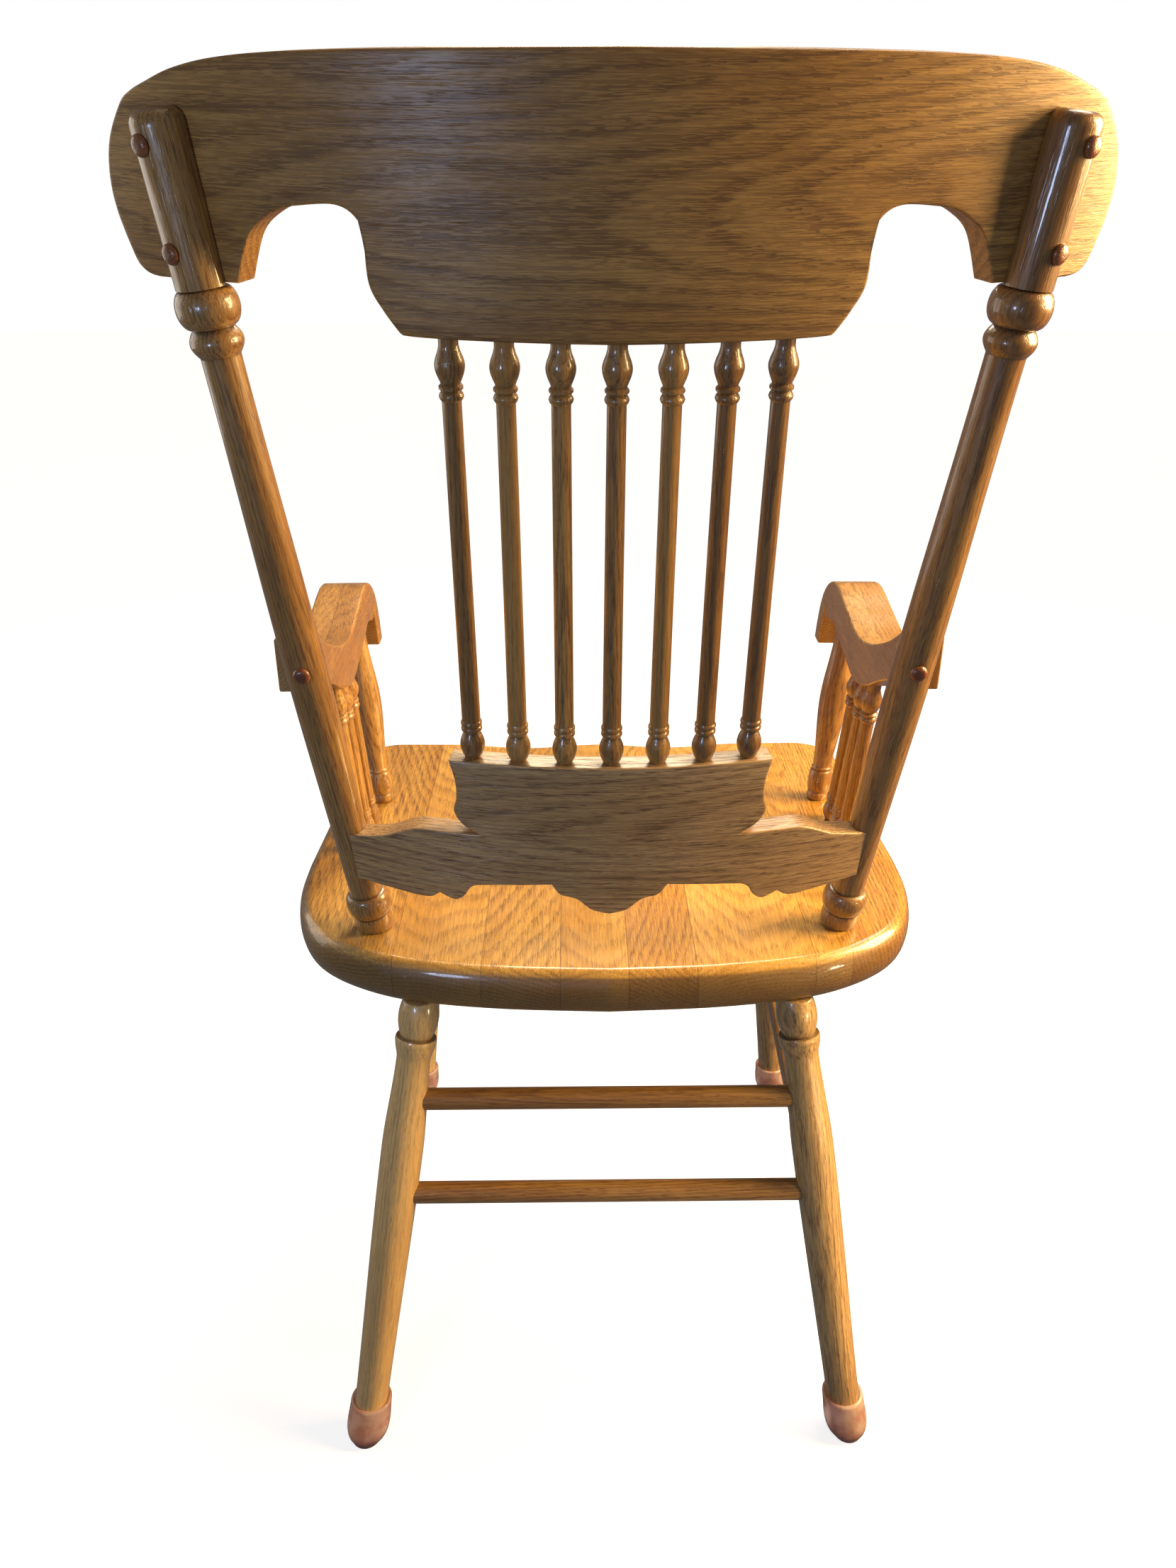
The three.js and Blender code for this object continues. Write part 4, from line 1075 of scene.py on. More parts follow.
@dataclass(frozen=True)
class SteelFinish:
    """Plated steel, dulled in spangles."""

    name: str = "plated_steel"
    bright: Colour = (198, 196, 188)
    dull: Colour = (146, 142, 130)

    def build(self) -> bpy.types.Material:
        """Lays the nodes of the finish.

        Returns:
            The material.
        """
        material, tree, shader = new_material(self.name)
        spangle = tree.noise(tree.place(), SPANGLE)
        dull = rgba(self.dull)
        settings = {
            "Base Color": tree.mix(tree.ramp(spangle, *SPANGLE_EDGE), dull, rgba(self.bright)),
            "Roughness": tree.ramp(spangle, 0.3, 0.7, 0.28, 0.45),
            "Metallic": 1.0,
        }
        tree.feed(shader.inputs, settings)
        return material


SEAT_JOINTS = (
    Joint(-0.204, (0.31, 0.19, 0.012), 0.12),
    Joint(-0.171, (0.22, -0.06, 0.02), 0.12),
    Joint(-0.072, (0.17, -0.18, 0.015), -0.2),
    Joint(-0.016, (0.23, 0.05, -0.03), 0.24),
    Joint(0.0395, (0.41, -0.13, 0.01), -0.2),
    Joint(0.104, (0.13, -0.01, 0.018), 0.14),
    Joint(0.178, (0.29, 0.04, -0.02), -0.3),
)
ARM_JOINTS = (Joint(0.021, (0.27, 0.06, 0.02), 0.12),)
SEAT_OAK = OakFinish(
    "seat_oak",
    light=(228, 174, 84),
    middle=(206, 148, 60),
    dark=(88, 46, 16),
    pith_lean=0.12,
    wander=0.014,
    ring_strength=0.34,
    pore_strength=0.64,
    gloss=0.24,
    coat=0.9,
    coat_haze=0.07,
    joints=SEAT_JOINTS,
)
# Painted light and painted sheen: the lower rail's oak is paler and greyer than the crest's, in
# place of the light and sheen on the rail.
LIT_RAIL_OAK = OakFinish(
    "rail_oak",
    light=(226, 184, 128),
    middle=(208, 162, 104),
    dark=(100, 64, 36),
    pith_lean=0.04,
    wander=0.012,
    ring_strength=0.36,
    pore_strength=0.74,
    gloss=0.36,
    coat=0.8,
    coat_haze=0.24,
    relief=0.5,
)
CREST_OAK = OakFinish(
    "crest_oak",
    ring_spacing=0.0075,
    pith_lean=0.1,
    wander=0.05,
    ring_strength=0.36,
    pore_strength=0.62,
    gloss=0.42,
    coat=0.4,
    coat_haze=0.3,
    relief=0.6,
)
TURNED_OAK = OakFinish(
    "turned_oak",
    ring_spacing=0.0028,
    ring_strength=0.46,
    pore_strength=0.7,
    coat=0.9,
    coat_haze=0.06,
)
# Painted light: the legs' oak is paler than the turned oak of the posts and spindles, in place of
# the light that falls on the legs.
LIT_LEG_OAK = OakFinish(
    "leg_oak",
    light=(246, 200, 128),
    middle=(214, 162, 96),
    dark=(98, 60, 30),
    ring_spacing=0.0032,
    ring_strength=0.4,
    pore_strength=0.66,
    coat=0.9,
    coat_haze=0.06,
)
ARM_OAK = OakFinish("arm_oak", joints=ARM_JOINTS)
PLUG_OAK = OakFinish(
    "plug_oak",
    light=(172, 102, 56),
    middle=(150, 84, 44),
    dark=(86, 44, 22),
    ring_spacing=0.0016,
    gloss=0.22,
)


class Finishes:
    """Every material of the chair, made once."""

    def __init__(self) -> None:
        """Builds the shared groups and the materials."""
        trees = (oak_grain_group(), board_joint_group(), finish_wear_group())
        groups = {tree.name: tree for tree in trees}
        self.seat = SEAT_OAK.build(groups)
        self.rail = LIT_RAIL_OAK.build(groups)
        self.crest = CREST_OAK.build(groups)
        self.turned = TURNED_OAK.build(groups)
        self.leg = LIT_LEG_OAK.build(groups)
        self.arm = ARM_OAK.build(groups)
        self.plug = PLUG_OAK.build(groups)
        self.silicone = SiliconeFinish().build()
        self.felt = FeltFinish().build()
        self.steel = SteelFinish().build()


def dress(piece: bpy.types.Object, material: bpy.types.Material, slot: str, *nodes: str) -> None:
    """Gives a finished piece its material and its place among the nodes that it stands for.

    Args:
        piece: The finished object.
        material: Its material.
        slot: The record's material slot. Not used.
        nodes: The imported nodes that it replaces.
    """
    piece.data.materials.append(material)
    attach(piece, BODY)
    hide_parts(*nodes)
    log.info("%s: %d faces, for %s", piece.name, len(piece.data.polygons), ", ".join(nodes))


def turned_piece(
    node: str,
    shaping: str,
    profile: Array,
    placing: Placing,
    grain_offset: Sequence[float],
    material: bpy.types.Material,
    turns: int,
    slot: str = OAK,
    tone: float = 0.0,
) -> None:
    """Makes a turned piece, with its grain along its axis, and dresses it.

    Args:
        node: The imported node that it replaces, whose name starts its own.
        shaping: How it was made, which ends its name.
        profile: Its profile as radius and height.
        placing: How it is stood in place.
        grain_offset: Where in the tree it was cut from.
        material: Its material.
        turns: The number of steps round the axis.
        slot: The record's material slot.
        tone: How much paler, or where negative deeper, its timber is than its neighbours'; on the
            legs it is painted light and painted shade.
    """
    skin = Skin(f"{node}_{shaping}")
    skin.add(revolved(profile, turns), profile_wear(profile)[:, None], wrap=True)
    dress(skin.finish(placing, (2, 0, 1), grain_offset, tone=tone), material, slot, node)


# The seat

SEAT_REAR_RUN: Run = (
    (0, 1), (0.32, 0.976), (0.584, 0.922), (0.754, 0.839),
    (0.883, 0.717), (0.954, 0.557), (0.993, 0.348), (1, 0.13),
)


@dataclass
class SeatPlank:
    """The glued-up seat, with a rounded edge and two thigh scoops."""

    datum: Datum
    finishes: Finishes
    half_width: float = 0.281
    rear_reach: float = 0.230
    front_reach: float = 0.251
    front_half_width: float = 0.273
    corner_radius: float = 0.042
    upper_nose: float = 0.0125
    lower_nose: float = 0.010
    scoop_depth: float = 0.0045
    scoop_length: float = 0.190
    scoop_half_width: float = 0.084
    scoop_offset: float = 0.082
    # The front and rear edges are darkened below their top round: partly end grain taking more
    # stain, partly painted shade on the edge that faces away from the light.
    end_grain_stain: float = 1.3
    rub_height: float = 0.9
    rub_spread: float = 0.02
    rear_run: Run = SEAT_REAR_RUN
    rim_steps: int = 340
    corner_steps: int = 40
    nose_steps: int = 29
    face_steps: int = 46
    grain_offset: tuple[float, float, float] = (0.0, 0.0, -0.40)

    def outline(self) -> Array:
        """The plan of the seat, from the middle of the rear edge round to it again."""
        knots = np.array(self.rear_run) * (self.half_width, self.rear_reach)
        rear = smooth_run(knots)
        corner_y = self.corner_radius - self.front_reach
        flank = smooth_run(np.array([knots[-1], [self.front_half_width, corner_y]]))
        turn = np.linspace(0, math.pi / 2, self.corner_steps)
        middle = (self.front_half_width - self.corner_radius, corner_y)
        corner = middle + self.corner_radius * np.stack([np.cos(turn), -np.sin(turn)], axis=1)
        half = np.concatenate([rear, flank[1:], corner[1:], [[0.0, -self.front_reach]]])
        return np.concatenate([half, half[-2::-1] * (-1, 1)])

    def scoop(self, across: Array, along: Array) -> Array:
        """How far the top dips: two cosine-squared lobes that deepen towards the front edge.

        Args:
            across: Places across the seat.
            along: Places along it.

        Returns:
            The depth at each place.
        """
        lobe = np.clip((np.abs(across) - self.scoop_offset) / self.scoop_half_width, -1, 1)
        share = np.clip((-along - self.front_reach + self.scoop_length) / self.scoop_length, 0, 1)
        ramp = share * share * (3 - 2 * share)
        return self.scoop_depth * np.cos(math.pi / 2 * lobe) ** 2 * ramp

    def build(self) -> None:
        """Builds the seat as rings of the outline, drawn in round the nose and over both faces."""
        rim = paced(self.outline(), (self.rim_steps,))[:-1]
        inward = -rim / np.linalg.norm(rim, axis=1)[:, None]
        rise = np.sin(np.linspace(-math.pi / 2, math.pi / 2, self.nose_steps))
        rings = np.sin(np.linspace(0, math.pi / 2, self.face_steps))
        middle = self.datum.seat_height - self.datum.seat_thickness / 2
        nose = np.where(rise > 0, self.upper_nose, self.lower_nose) * (1 - np.sqrt(1 - rise**2))
        edge = rim[None] + inward[None] * nose[:, None, None]
        lower = edge[0] * rings[:-1, None, None]
        upper = edge[-1] * rings[-2::-1, None, None]
        flat = np.concatenate([lower, edge, upper])
        level = np.concatenate([-np.ones(len(lower)), rise, np.ones(len(upper))])
        height = middle + level[:, None] * self.datum.seat_thickness / 2 + 0 * flat[..., 0]
        height -= self.scoop(flat[..., 0], flat[..., 1]) * np.clip(level, 0, 1)[:, None]
        rubbed = np.exp(-((rise - self.rub_height) ** 2) / self.rub_spread)
        # Partly painted shade: the end-grain edges are darkened below the top round, both as stain
        # and in place of the shade on the edge.
        grain_end_and_shade = np.abs(inward[:, 1]) * self.end_grain_stain
        stain_and_shade = (1 - np.clip(rise, 0, 1) ** 4)[:, None] * grain_end_and_shade
        worn = np.concatenate([0 * lower[..., 0], rubbed[:, None] - stain_and_shade, 0 * upper[..., 0]])
        skin = Skin("seat_plank")
        skin.add(np.concatenate([flat, height[..., None]], axis=2), worn, wrap=True)
        origin = self.datum.point(0, 0, 0)
        piece = skin.finish(lambda local: local + origin, (1, 0, 2), self.grain_offset, sharp=60)
        dress(piece, self.finishes.seat, OAK, "seat")


# Legs, caps and stretchers


@dataclass
class LegSet:
    """Four raked legs in clear caps with felt pads, joined by eight dowels."""

    datum: Datum
    finishes: Finishes
    rear_foot: tuple[float, float] = (0.220, 0.293)
    rear_head: tuple[float, float] = (0.1566, 0.1963)
    front_foot: tuple[float, float] = (0.223, -0.185)
    front_head: tuple[float, float] = (0.183, -0.1494)
    ankle_radius: float = 0.0143
    swell_height: float = 0.28
    swell_radius: float = 0.018
    neck_drop: float = 0.054
    neck_radius: float = 0.0145
    collar_drop: float = 0.0415
    collar_radius: float = 0.017
    collar_bead: float = 0.0006
    groove_drop: float = 0.0355
    groove_radius: float = 0.0138
    ball_radius: float = 0.0172
    felt_thickness: float = 0.003
    felt_radius: float = 0.013
    felt_round: float = 0.0006
    felt_draw: float = 0.97
    cap_rim_height: float = 0.039
    cap_radius: float = 0.0193
    cap_rim_radius: float = 0.0184
    cap_belly_height: float = 0.019
    cap_foot_radius: float = 0.0115
    cap_fullness: float = 0.84
    cap_floor: float = 0.004
    stretcher_radius: float = 0.0094
    upper_stretcher: float = 0.325
    lower_stretcher: float = 0.239
    side_drop: float = 0.043
    stretcher_inset: float = 0.004
    stretcher_tone: float = -0.3
    # Painted shade and painted light: the left legs' timber is made deeper and the right legs'
    # paler, in place of how the light falls on them.
    left_leg_tone: float = -0.36
    right_leg_tone: float = 0.4
    leg_grain: Sawn = Sawn((0.2, 0.035, 0.05), (0.6, 0.008, 0.0))
    leg_spin: float = 0.7
    dowel_grain: Sawn = Sawn((0.0, 0.022, 0.03), (0.9, 0.0, 0.0))
    dowel_spin: float = 1.1
    leg_turns: int = 56
    cap_turns: int = 64
    small_turns: int = 40
    bowl_steps: int = 13
    lip_steps: int = 11
    wall_steps: int = 8
    floor_steps: int = 4
    axes: dict[str, tuple[Array, Array]] = field(default_factory=dict)

    def profile(self) -> Array:
        """The turning of a leg, from the floor to the seat."""
        top = self.datum.seat_underside
        bead = self.collar_radius + self.collar_bead
        cuts = (
            Turned(Cut.EASE, self.swell_height, self.swell_radius),
            Turned(Cut.EASE, top - self.neck_drop - self.swell_height, self.neck_radius),
            Turned(Cut.EASE, self.neck_drop - self.collar_drop, self.collar_radius),
            Turned(Cut.BEAD, self.collar_drop - self.groove_drop, bead),
            Turned(Cut.TAPER, 0.0, self.groove_radius),
            Turned(Cut.BEAD, self.groove_drop, self.ball_radius),
        )
        return turned_profile(self.ankle_radius, cuts)

    def cap_profile(self) -> Array:
        """A clear cup: out under the foot, over the belly and the rim, and down to its floor."""
        turn = np.linspace(0, math.pi / 2, self.bowl_steps + 1)
        width = self.cap_radius - self.cap_foot_radius
        belly = self.cap_belly_height - self.felt_thickness
        outwards = np.linspace(0, self.cap_foot_radius, self.floor_steps + 1)
        under = np.stack([outwards, 0 * outwards], axis=1)
        bulge, climb = np.sin(turn) ** self.cap_fullness, np.cos(turn) ** self.cap_fullness
        bowl = np.stack([self.cap_foot_radius + width * bulge, belly * (1 - climb)], axis=1)
        share = np.linspace(0, 1, self.bowl_steps + 1)[1:]
        wall_rise = self.cap_rim_height - self.cap_belly_height
        drawn = (self.cap_radius - self.cap_rim_radius) * (1 - np.cos(math.pi * share)) / 2
        wall = np.stack([self.cap_radius - drawn, belly + wall_rise * share], axis=1)
        inner, rim, floor = self.ankle_radius + FIT, belly + wall_rise, self.cap_floor
        half = (self.cap_rim_radius - inner) / 2
        over = np.linspace(0, math.pi, self.lip_steps + 1)[1:]
        lip = np.stack([inner + half * (1 + np.cos(over)), rim + half * np.sin(over)], axis=1)
        down = np.linspace(rim, floor, self.wall_steps + 1)[1:]
        inside = np.stack([inner + 0 * down, down], axis=1)
        inwards = np.linspace(inner, 0, self.floor_steps + 1)[1:]
        ground = np.stack([inwards, floor + 0 * inwards], axis=1)
        return np.concatenate([under, bowl[1:], wall, lip, inside, ground])

    def build_leg(self, place: str, foot: Array, head: Array, number: int) -> None:
        """Turns one leg and sets its cap and its pad.

        Args:
            place: Which leg it is, such as rear_left.
            foot: Where its axis meets the floor.
            head: Where its axis meets the underside of the seat.
            number: The leg's place in the set, from which its timber is chosen.
        """
        self.axes[place] = (foot, head)
        end, side = place.split("_")
        span = head - foot
        length = np.linalg.norm(span)
        profile = self.profile() * (1, length / span[2])
        lowest = self.felt_thickness + self.cap_floor + FIT
        placing = aimed(foot, span / length, self.leg_spin * number)
        placing = level_between(placing, lowest, self.datum.seat_underside - FIT)
        # The legs' painted light and shade, carried as their tone.
        tone = self.left_leg_tone if side == "left" else self.right_leg_tone
        leg, oak, grain = f"{end}_leg_{side}", self.finishes.leg, self.leg_grain.at(number)
        turned_piece(leg, "turned", profile, placing, grain, oak, self.leg_turns, tone=tone)
        slope = span / span[2]

        def cup(local: Array) -> Array:
            """The cup, its rings level and each set over along the slant of the leg."""
            rise = local[..., 2:] + self.felt_thickness
            return np.concatenate([local[..., :2], 0 * rise], axis=-1) + foot + rise * slope

        cap = Skin(f"leg_cap_{place}_moulded")
        cap.add(revolved(self.cap_profile(), self.cap_turns), wrap=True)
        moulded = cap.finish(cup, (2, 0, 1), (0, 0, 0))
        dress(moulded, self.finishes.silicone, "silicone", f"leg_cap_{place}")
        cuts = (
            Turned(Cut.TAPER, self.felt_thickness - self.felt_round, self.felt_radius),
            Turned(Cut.ROUND, self.felt_round - FIT / 3, self.felt_radius * self.felt_draw),
        )
        profile = turned_profile(self.felt_radius, cuts)
        placing = aimed(foot, np.array([0.0, 0.0, 1.0]))
        pad, felt, turns = f"felt_pad_{place}", self.finishes.felt, self.small_turns
        turned_piece(pad, "cut", profile, placing, (0, 0, 0), felt, turns, slot="felt")

    def build_dowel(self, name: str, start: str, end: str, height: float, number: int) -> None:
        """Sets one stretcher between two legs.

        Args:
            name: The node that it stands for.
            start: The leg that it starts in.
            end: The leg that it ends in.
            height: The height at which its axis meets theirs.
            number: Its place in the set, from which its timber is chosen.
        """
        ends = []
        for leg in (start, end):
            foot, head = self.axes[leg]
            ends.append(foot + (head - foot) * height / (head[2] - foot[2]))
        span = ends[1] - ends[0]
        along = span / np.linalg.norm(span)
        first = ends[0] + along * self.stretcher_inset
        length = np.linalg.norm(span) - 2 * self.stretcher_inset
        cut = Turned(Cut.TAPER, length, self.stretcher_radius)
        profile = turned_profile(self.stretcher_radius, (cut,))
        placing = aimed(first, along, self.dowel_spin * number)
        grain, oak, turns = self.dowel_grain.at(number), self.finishes.turned, self.small_turns
        tone = self.stretcher_tone
        turned_piece(name, "dowel", profile, placing, grain, oak, turns, tone=tone)

    def build(self) -> None:
        """Builds the legs, then the stretchers between them."""
        number = 0
        for side in Side:
            for end, foot, head in (
                ("rear", self.rear_foot, self.rear_head),
                ("front", self.front_foot, self.front_head),
            ):
                low = self.datum.point(side.value * foot[0], foot[1], 0)
                high = self.datum.point(side.value * head[0], head[1], self.datum.seat_underside)
                self.build_leg(f"{end}_{side.word}", low, high, number)
                number += 1
        levels = {"upper": self.upper_stretcher, "lower": self.lower_stretcher}
        for level, height in levels.items():
            for end in ("rear", "front"):
                name = f"{end}_stretcher_{level}"
                self.build_dowel(name, f"{end}_left", f"{end}_right", height, number)
                number += 1
            for side in Side:
                name = f"{side.word}_stretcher_{level}"
                lower = height - self.side_drop
                self.build_dowel(name, f"rear_{side.word}", f"front_{side.word}", lower, number)
                number += 1


# The back

CREST_RUNS: tuple[Run, ...] = (
    (
        (0, 1), (0.32, 0.993), (0.567, 0.978), (0.707, 0.955), (0.802, 0.918),
        (0.872, 0.868), (0.909, 0.836), (0.938, 0.793), (0.982, 0.664), (1, 0.529),
        (0.997, 0.397), (0.973, 0.238), (0.959, 0.194), (0.94, 0.172), (0.916, 0.165),
    ),
    ((0.916, 0.165), (0.729, 0.171)),
    ((0.729, 0.171), (0.689, 0.355), (0.637, 0.439), (0.597, 0.468)),
    (
        (0.597, 0.468), (0.512, 0.482), (0.472, 0.443), (0.46, 0.37), (0.457, 0.205),
        (0.433, 0.106), (0.405, 0.026),
    ),
    ((0.405, 0.026), (0.357, 0.011), (0, 0)),
)
LOWER_RUNS: tuple[Run, ...] = (
    ((0, 1), (0.575, 1)),
    ((0.575, 1), (0.556, 0.87), (0.556, 0.755), (0.568, 0.673), (0.54, 0.59), (0.478, 0.526)),
    ((0.478, 0.526), (0.634, 0.522), (0.732, 0.511), (0.84, 0.436), (0.93, 0.4), (1, 0.378)),
    ((1, 0.378), (0.984, 0.075)),
    ((0.984, 0.075), (0.845, 0.052), (0.7, 0.032), (0.646, 0.077)),
    ((0.646, 0.077), (0.59, 0.04), (0.552, 0.07), (0.516, 0.15), (0.45, 0.173), (0.216, 0.206)),
    ((0.216, 0.206), (0.183, 0.136), (0.122, 0.106), (0.066, 0.03), (0, 0)),
)


@dataclass
class BackRails:
    """The crest rail and the lower rail, sawn to mirrored outlines and bent alike."""

    datum: Datum
    finishes: Finishes
    post_profile: Array
    edge_round: float = 0.0016
    crest_half_length: float = 0.3276
    crest_bottom: float = 0.4849
    crest_height: float = 0.1512
    crest_end_split: float = 0.812
    crest_end_reach: float = 0.16
    crest_runs: tuple[Run, ...] = CREST_RUNS
    crest_steps: tuple[int, ...] = (23, 19, 42, 44)
    crest_end_steps: int = 27
    crest_grain: tuple[float, float, float] = (0.05, -0.56, 0.045)
    lower_half_length: float = 0.213
    lower_bottom: float = 0.0453
    lower_height: float = 0.1393
    lower_runs: tuple[Run, ...] = LOWER_RUNS
    lower_steps: tuple[int, ...] = (40, 26, 40, 16, 24, 36, 20)
    seam_steps: int = 80
    lower_grain: tuple[float, float, float] = (0.8, -0.13, 0.03)

    def board(
        self,
        name: str,
        outline: Outline,
        patches: Callable[[Array], list[Array]],
        offset: Sequence[float],
        placing: Placing,
    ) -> bpy.types.Object:
        """Makes a bent board from its outline.

        Args:
            name: The name of the object.
            outline: The outline, across and up the slope.
            patches: Lays the flat faces inside a drawn-in outline.
            offset: Where in the tree the board was cut from.
            placing: How it is bent and set.

        Returns:
            The finished board.
        """
        skin = Skin(name)
        band, worn = edge_band(outline, self.datum.rail_thickness, self.edge_round)
        skin.add(band[..., [0, 2, 1]], worn, wrap=True)
        face_loop = outline.loop - self.edge_round * outline.normals()
        for patch in patches(face_loop):
            for depth in (-self.datum.rail_thickness / 2, self.datum.rail_thickness / 2):
                out = np.full(patch.shape[:2] + (1,), depth)
                skin.add(np.concatenate([patch[..., :1], out, patch[..., 1:]], axis=2))
        return skin.finish(placing, (0, 2, 1), offset)

    def build_crest(self) -> None:
        """Builds the crest rail as one patch between its top edge and its lobed bottom edge."""
        size = (self.crest_half_length, self.crest_height)
        runs = traced(self.crest_runs, size, (0.0, self.crest_bottom))
        top_steps = sum(self.crest_steps)
        around = paced(runs[0], (top_steps, self.crest_end_steps), (self.crest_end_split,))
        top, end = around[: top_steps + 1], around[top_steps:]
        lower = [paced(run, (count,)) for run, count in zip(runs[1:], self.crest_steps)]
        bottom = np.concatenate([run[:-1] for run in lower[:-1]] + [lower[-1]])
        outline = mirrored_outline({"top": top, "end": end, "bottom": bottom})

        def face(loop: Array) -> list[Array]:
            """One patch from the left end to the right end."""
            return [
                coons(
                    outline.stretch(loop, "bottom_right", "bottom_left", back=True),
                    outline.stretch(loop, "top_left", "top_right"),
                    outline.stretch(loop, "end_left"),
                    outline.stretch(loop, "end_right", back=True),
                    self.crest_end_reach,
                )
            ]

        bent = self.datum.bent
        piece = self.board("crest_rail_bent", outline, face, self.crest_grain, bent)
        dress(piece, self.finishes.crest, OAK, "crest_rail")

    def build_lower(self) -> None:
        """Builds the lower rail as a band with a block standing on it, coped round the posts."""
        size = (self.lower_half_length, self.lower_height)
        runs = traced(self.lower_runs, size, (0.0, self.lower_bottom))
        walked = [paced(run, (count,)) for run, count in zip(runs, self.lower_steps)]
        block, side, wing, end, scroll, cove, pendant = walked
        bottom = np.concatenate([scroll[:-1], cove[:-1], pendant])
        half = {"block": block, "side": side, "wing": wing, "end": end, "bottom": bottom}
        outline = mirrored_outline(half)

        def faces(loop: Array) -> list[Array]:
            """The band under a seam between the two notches, and the block over it."""
            left_wing = outline.stretch(loop, "wing_left")
            right_wing = outline.stretch(loop, "wing_right")
            share = np.linspace(0, 1, self.seam_steps + 1)[:, None]
            seam = left_wing[-1] + (right_wing[0] - left_wing[-1]) * share
            band = coons(
                outline.stretch(loop, "bottom_right", "bottom_left", back=True),
                np.concatenate([left_wing[:-1], seam[:-1], right_wing]),
                outline.stretch(loop, "end_left"),
                outline.stretch(loop, "end_right", back=True),
            )
            standing = coons(
                seam,
                outline.stretch(loop, "block_left", "block_right"),
                outline.stretch(loop, "side_left"),
                outline.stretch(loop, "side_right", back=True),
            )
            return [band, standing]

        placing = self.datum.bent
        for side_of_chair in Side:
            placing = coped(placing, *self.datum.post_axis(side_of_chair), self.post_profile)
        piece = self.board("lower_back_rail_bent", outline, faces, self.lower_grain, placing)
        dress(piece, self.finishes.rail, OAK, "lower_back_rail")

    def build(self) -> None:
        """Builds both rails."""
        self.build_crest()
        self.build_lower()


@dataclass(frozen=True)
class SpindleTurning:
    """The turning shared by the back spindles and the arm spindles."""

    neck_radius: float = 0.0062
    neck_length: float = 0.003
    acorn_radius: float = 0.0095
    acorn_length: float = 0.0215
    acorn_rise_share: float = 0.42
    waist_radius: float = 0.007
    waist_length: float = 0.002
    ring_radius: float = 0.0079
    ring_length: float = 0.0046
    wide_ring_length: float = 0.0062
    shaft_top_radius: float = 0.0062
    shaft_foot_radius: float = 0.0068
    foot_bulb_radius: float = 0.0092
    foot_bulb_length: float = 0.023
    foot_neck_radius: float = 0.0056

    def profile(self, clear_length: float, buried: float) -> Array:
        """The profile of a spindle.

        Args:
            clear_length: Its length between what it stands in and what it carries.
            buried: How far each end runs on into them.

        Returns:
            Points as radius and height.
        """
        ends = self.foot_bulb_length + 3 * self.ring_length + self.wide_ring_length
        ends += self.waist_length + self.acorn_length + self.neck_length
        rise = self.acorn_length * self.acorn_rise_share
        cuts = (
            Turned(Cut.TAPER, buried, self.foot_neck_radius),
            Turned(Cut.BEAD, self.foot_bulb_length, self.foot_bulb_radius),
            Turned(Cut.TAPER, 0.0, self.shaft_foot_radius),
            Turned(Cut.BEAD, self.ring_length, self.ring_radius),
            Turned(Cut.BEAD, self.ring_length, self.ring_radius),
            Turned(Cut.TAPER, clear_length - ends, self.shaft_top_radius),
            Turned(Cut.BEAD, self.wide_ring_length, self.ring_radius),
            Turned(Cut.BEAD, self.ring_length, self.ring_radius),
            Turned(Cut.TAPER, self.waist_length, self.waist_radius),
            Turned(Cut.SWELL, rise, self.acorn_radius),
            Turned(Cut.EASE, self.acorn_length - rise, self.neck_radius),
            Turned(Cut.TAPER, self.neck_length + buried, self.neck_radius),
        )
        return turned_profile(self.foot_neck_radius, cuts)


@dataclass
class BackSpindles:
    """Seven spindles between the two rails."""

    datum: Datum
    finishes: Finishes
    rails: BackRails
    turning: SpindleTurning
    count: int = 7
    pitch: float = 0.035
    buried: float = 0.006
    tones: tuple[float, ...] = (-0.5, -0.3, 0.3, -0.22, -0.06, 0.34, -0.34)
    grain: Sawn = Sawn((0.0, 0.016, 0.035), (0.7, 0.003, 0.0))
    spin: float = 0.9
    turns: int = 36

    def build(self) -> None:
        """Builds the spindles from left to right."""
        low = self.rails.lower_bottom + self.rails.lower_height
        high = self.rails.crest_bottom
        profile = self.turning.profile(high - low, self.buried)
        for number in range(self.count):
            across = self.pitch * (number - (self.count - 1) / 2)
            foot = self.datum.bent(np.array([across, 0.0, low - self.buried]))
            head = self.datum.bent(np.array([across, 0.0, high]))
            along = (head - foot) / np.linalg.norm(head - foot)
            placing = aimed(foot, along, self.spin * number)
            name, oak = f"back_spindle_{number + 1}", self.finishes.turned
            grain, tone = self.grain.at(number), self.tones[number]
            turned_piece(name, "turned", profile, placing, grain, oak, self.turns, tone=tone)


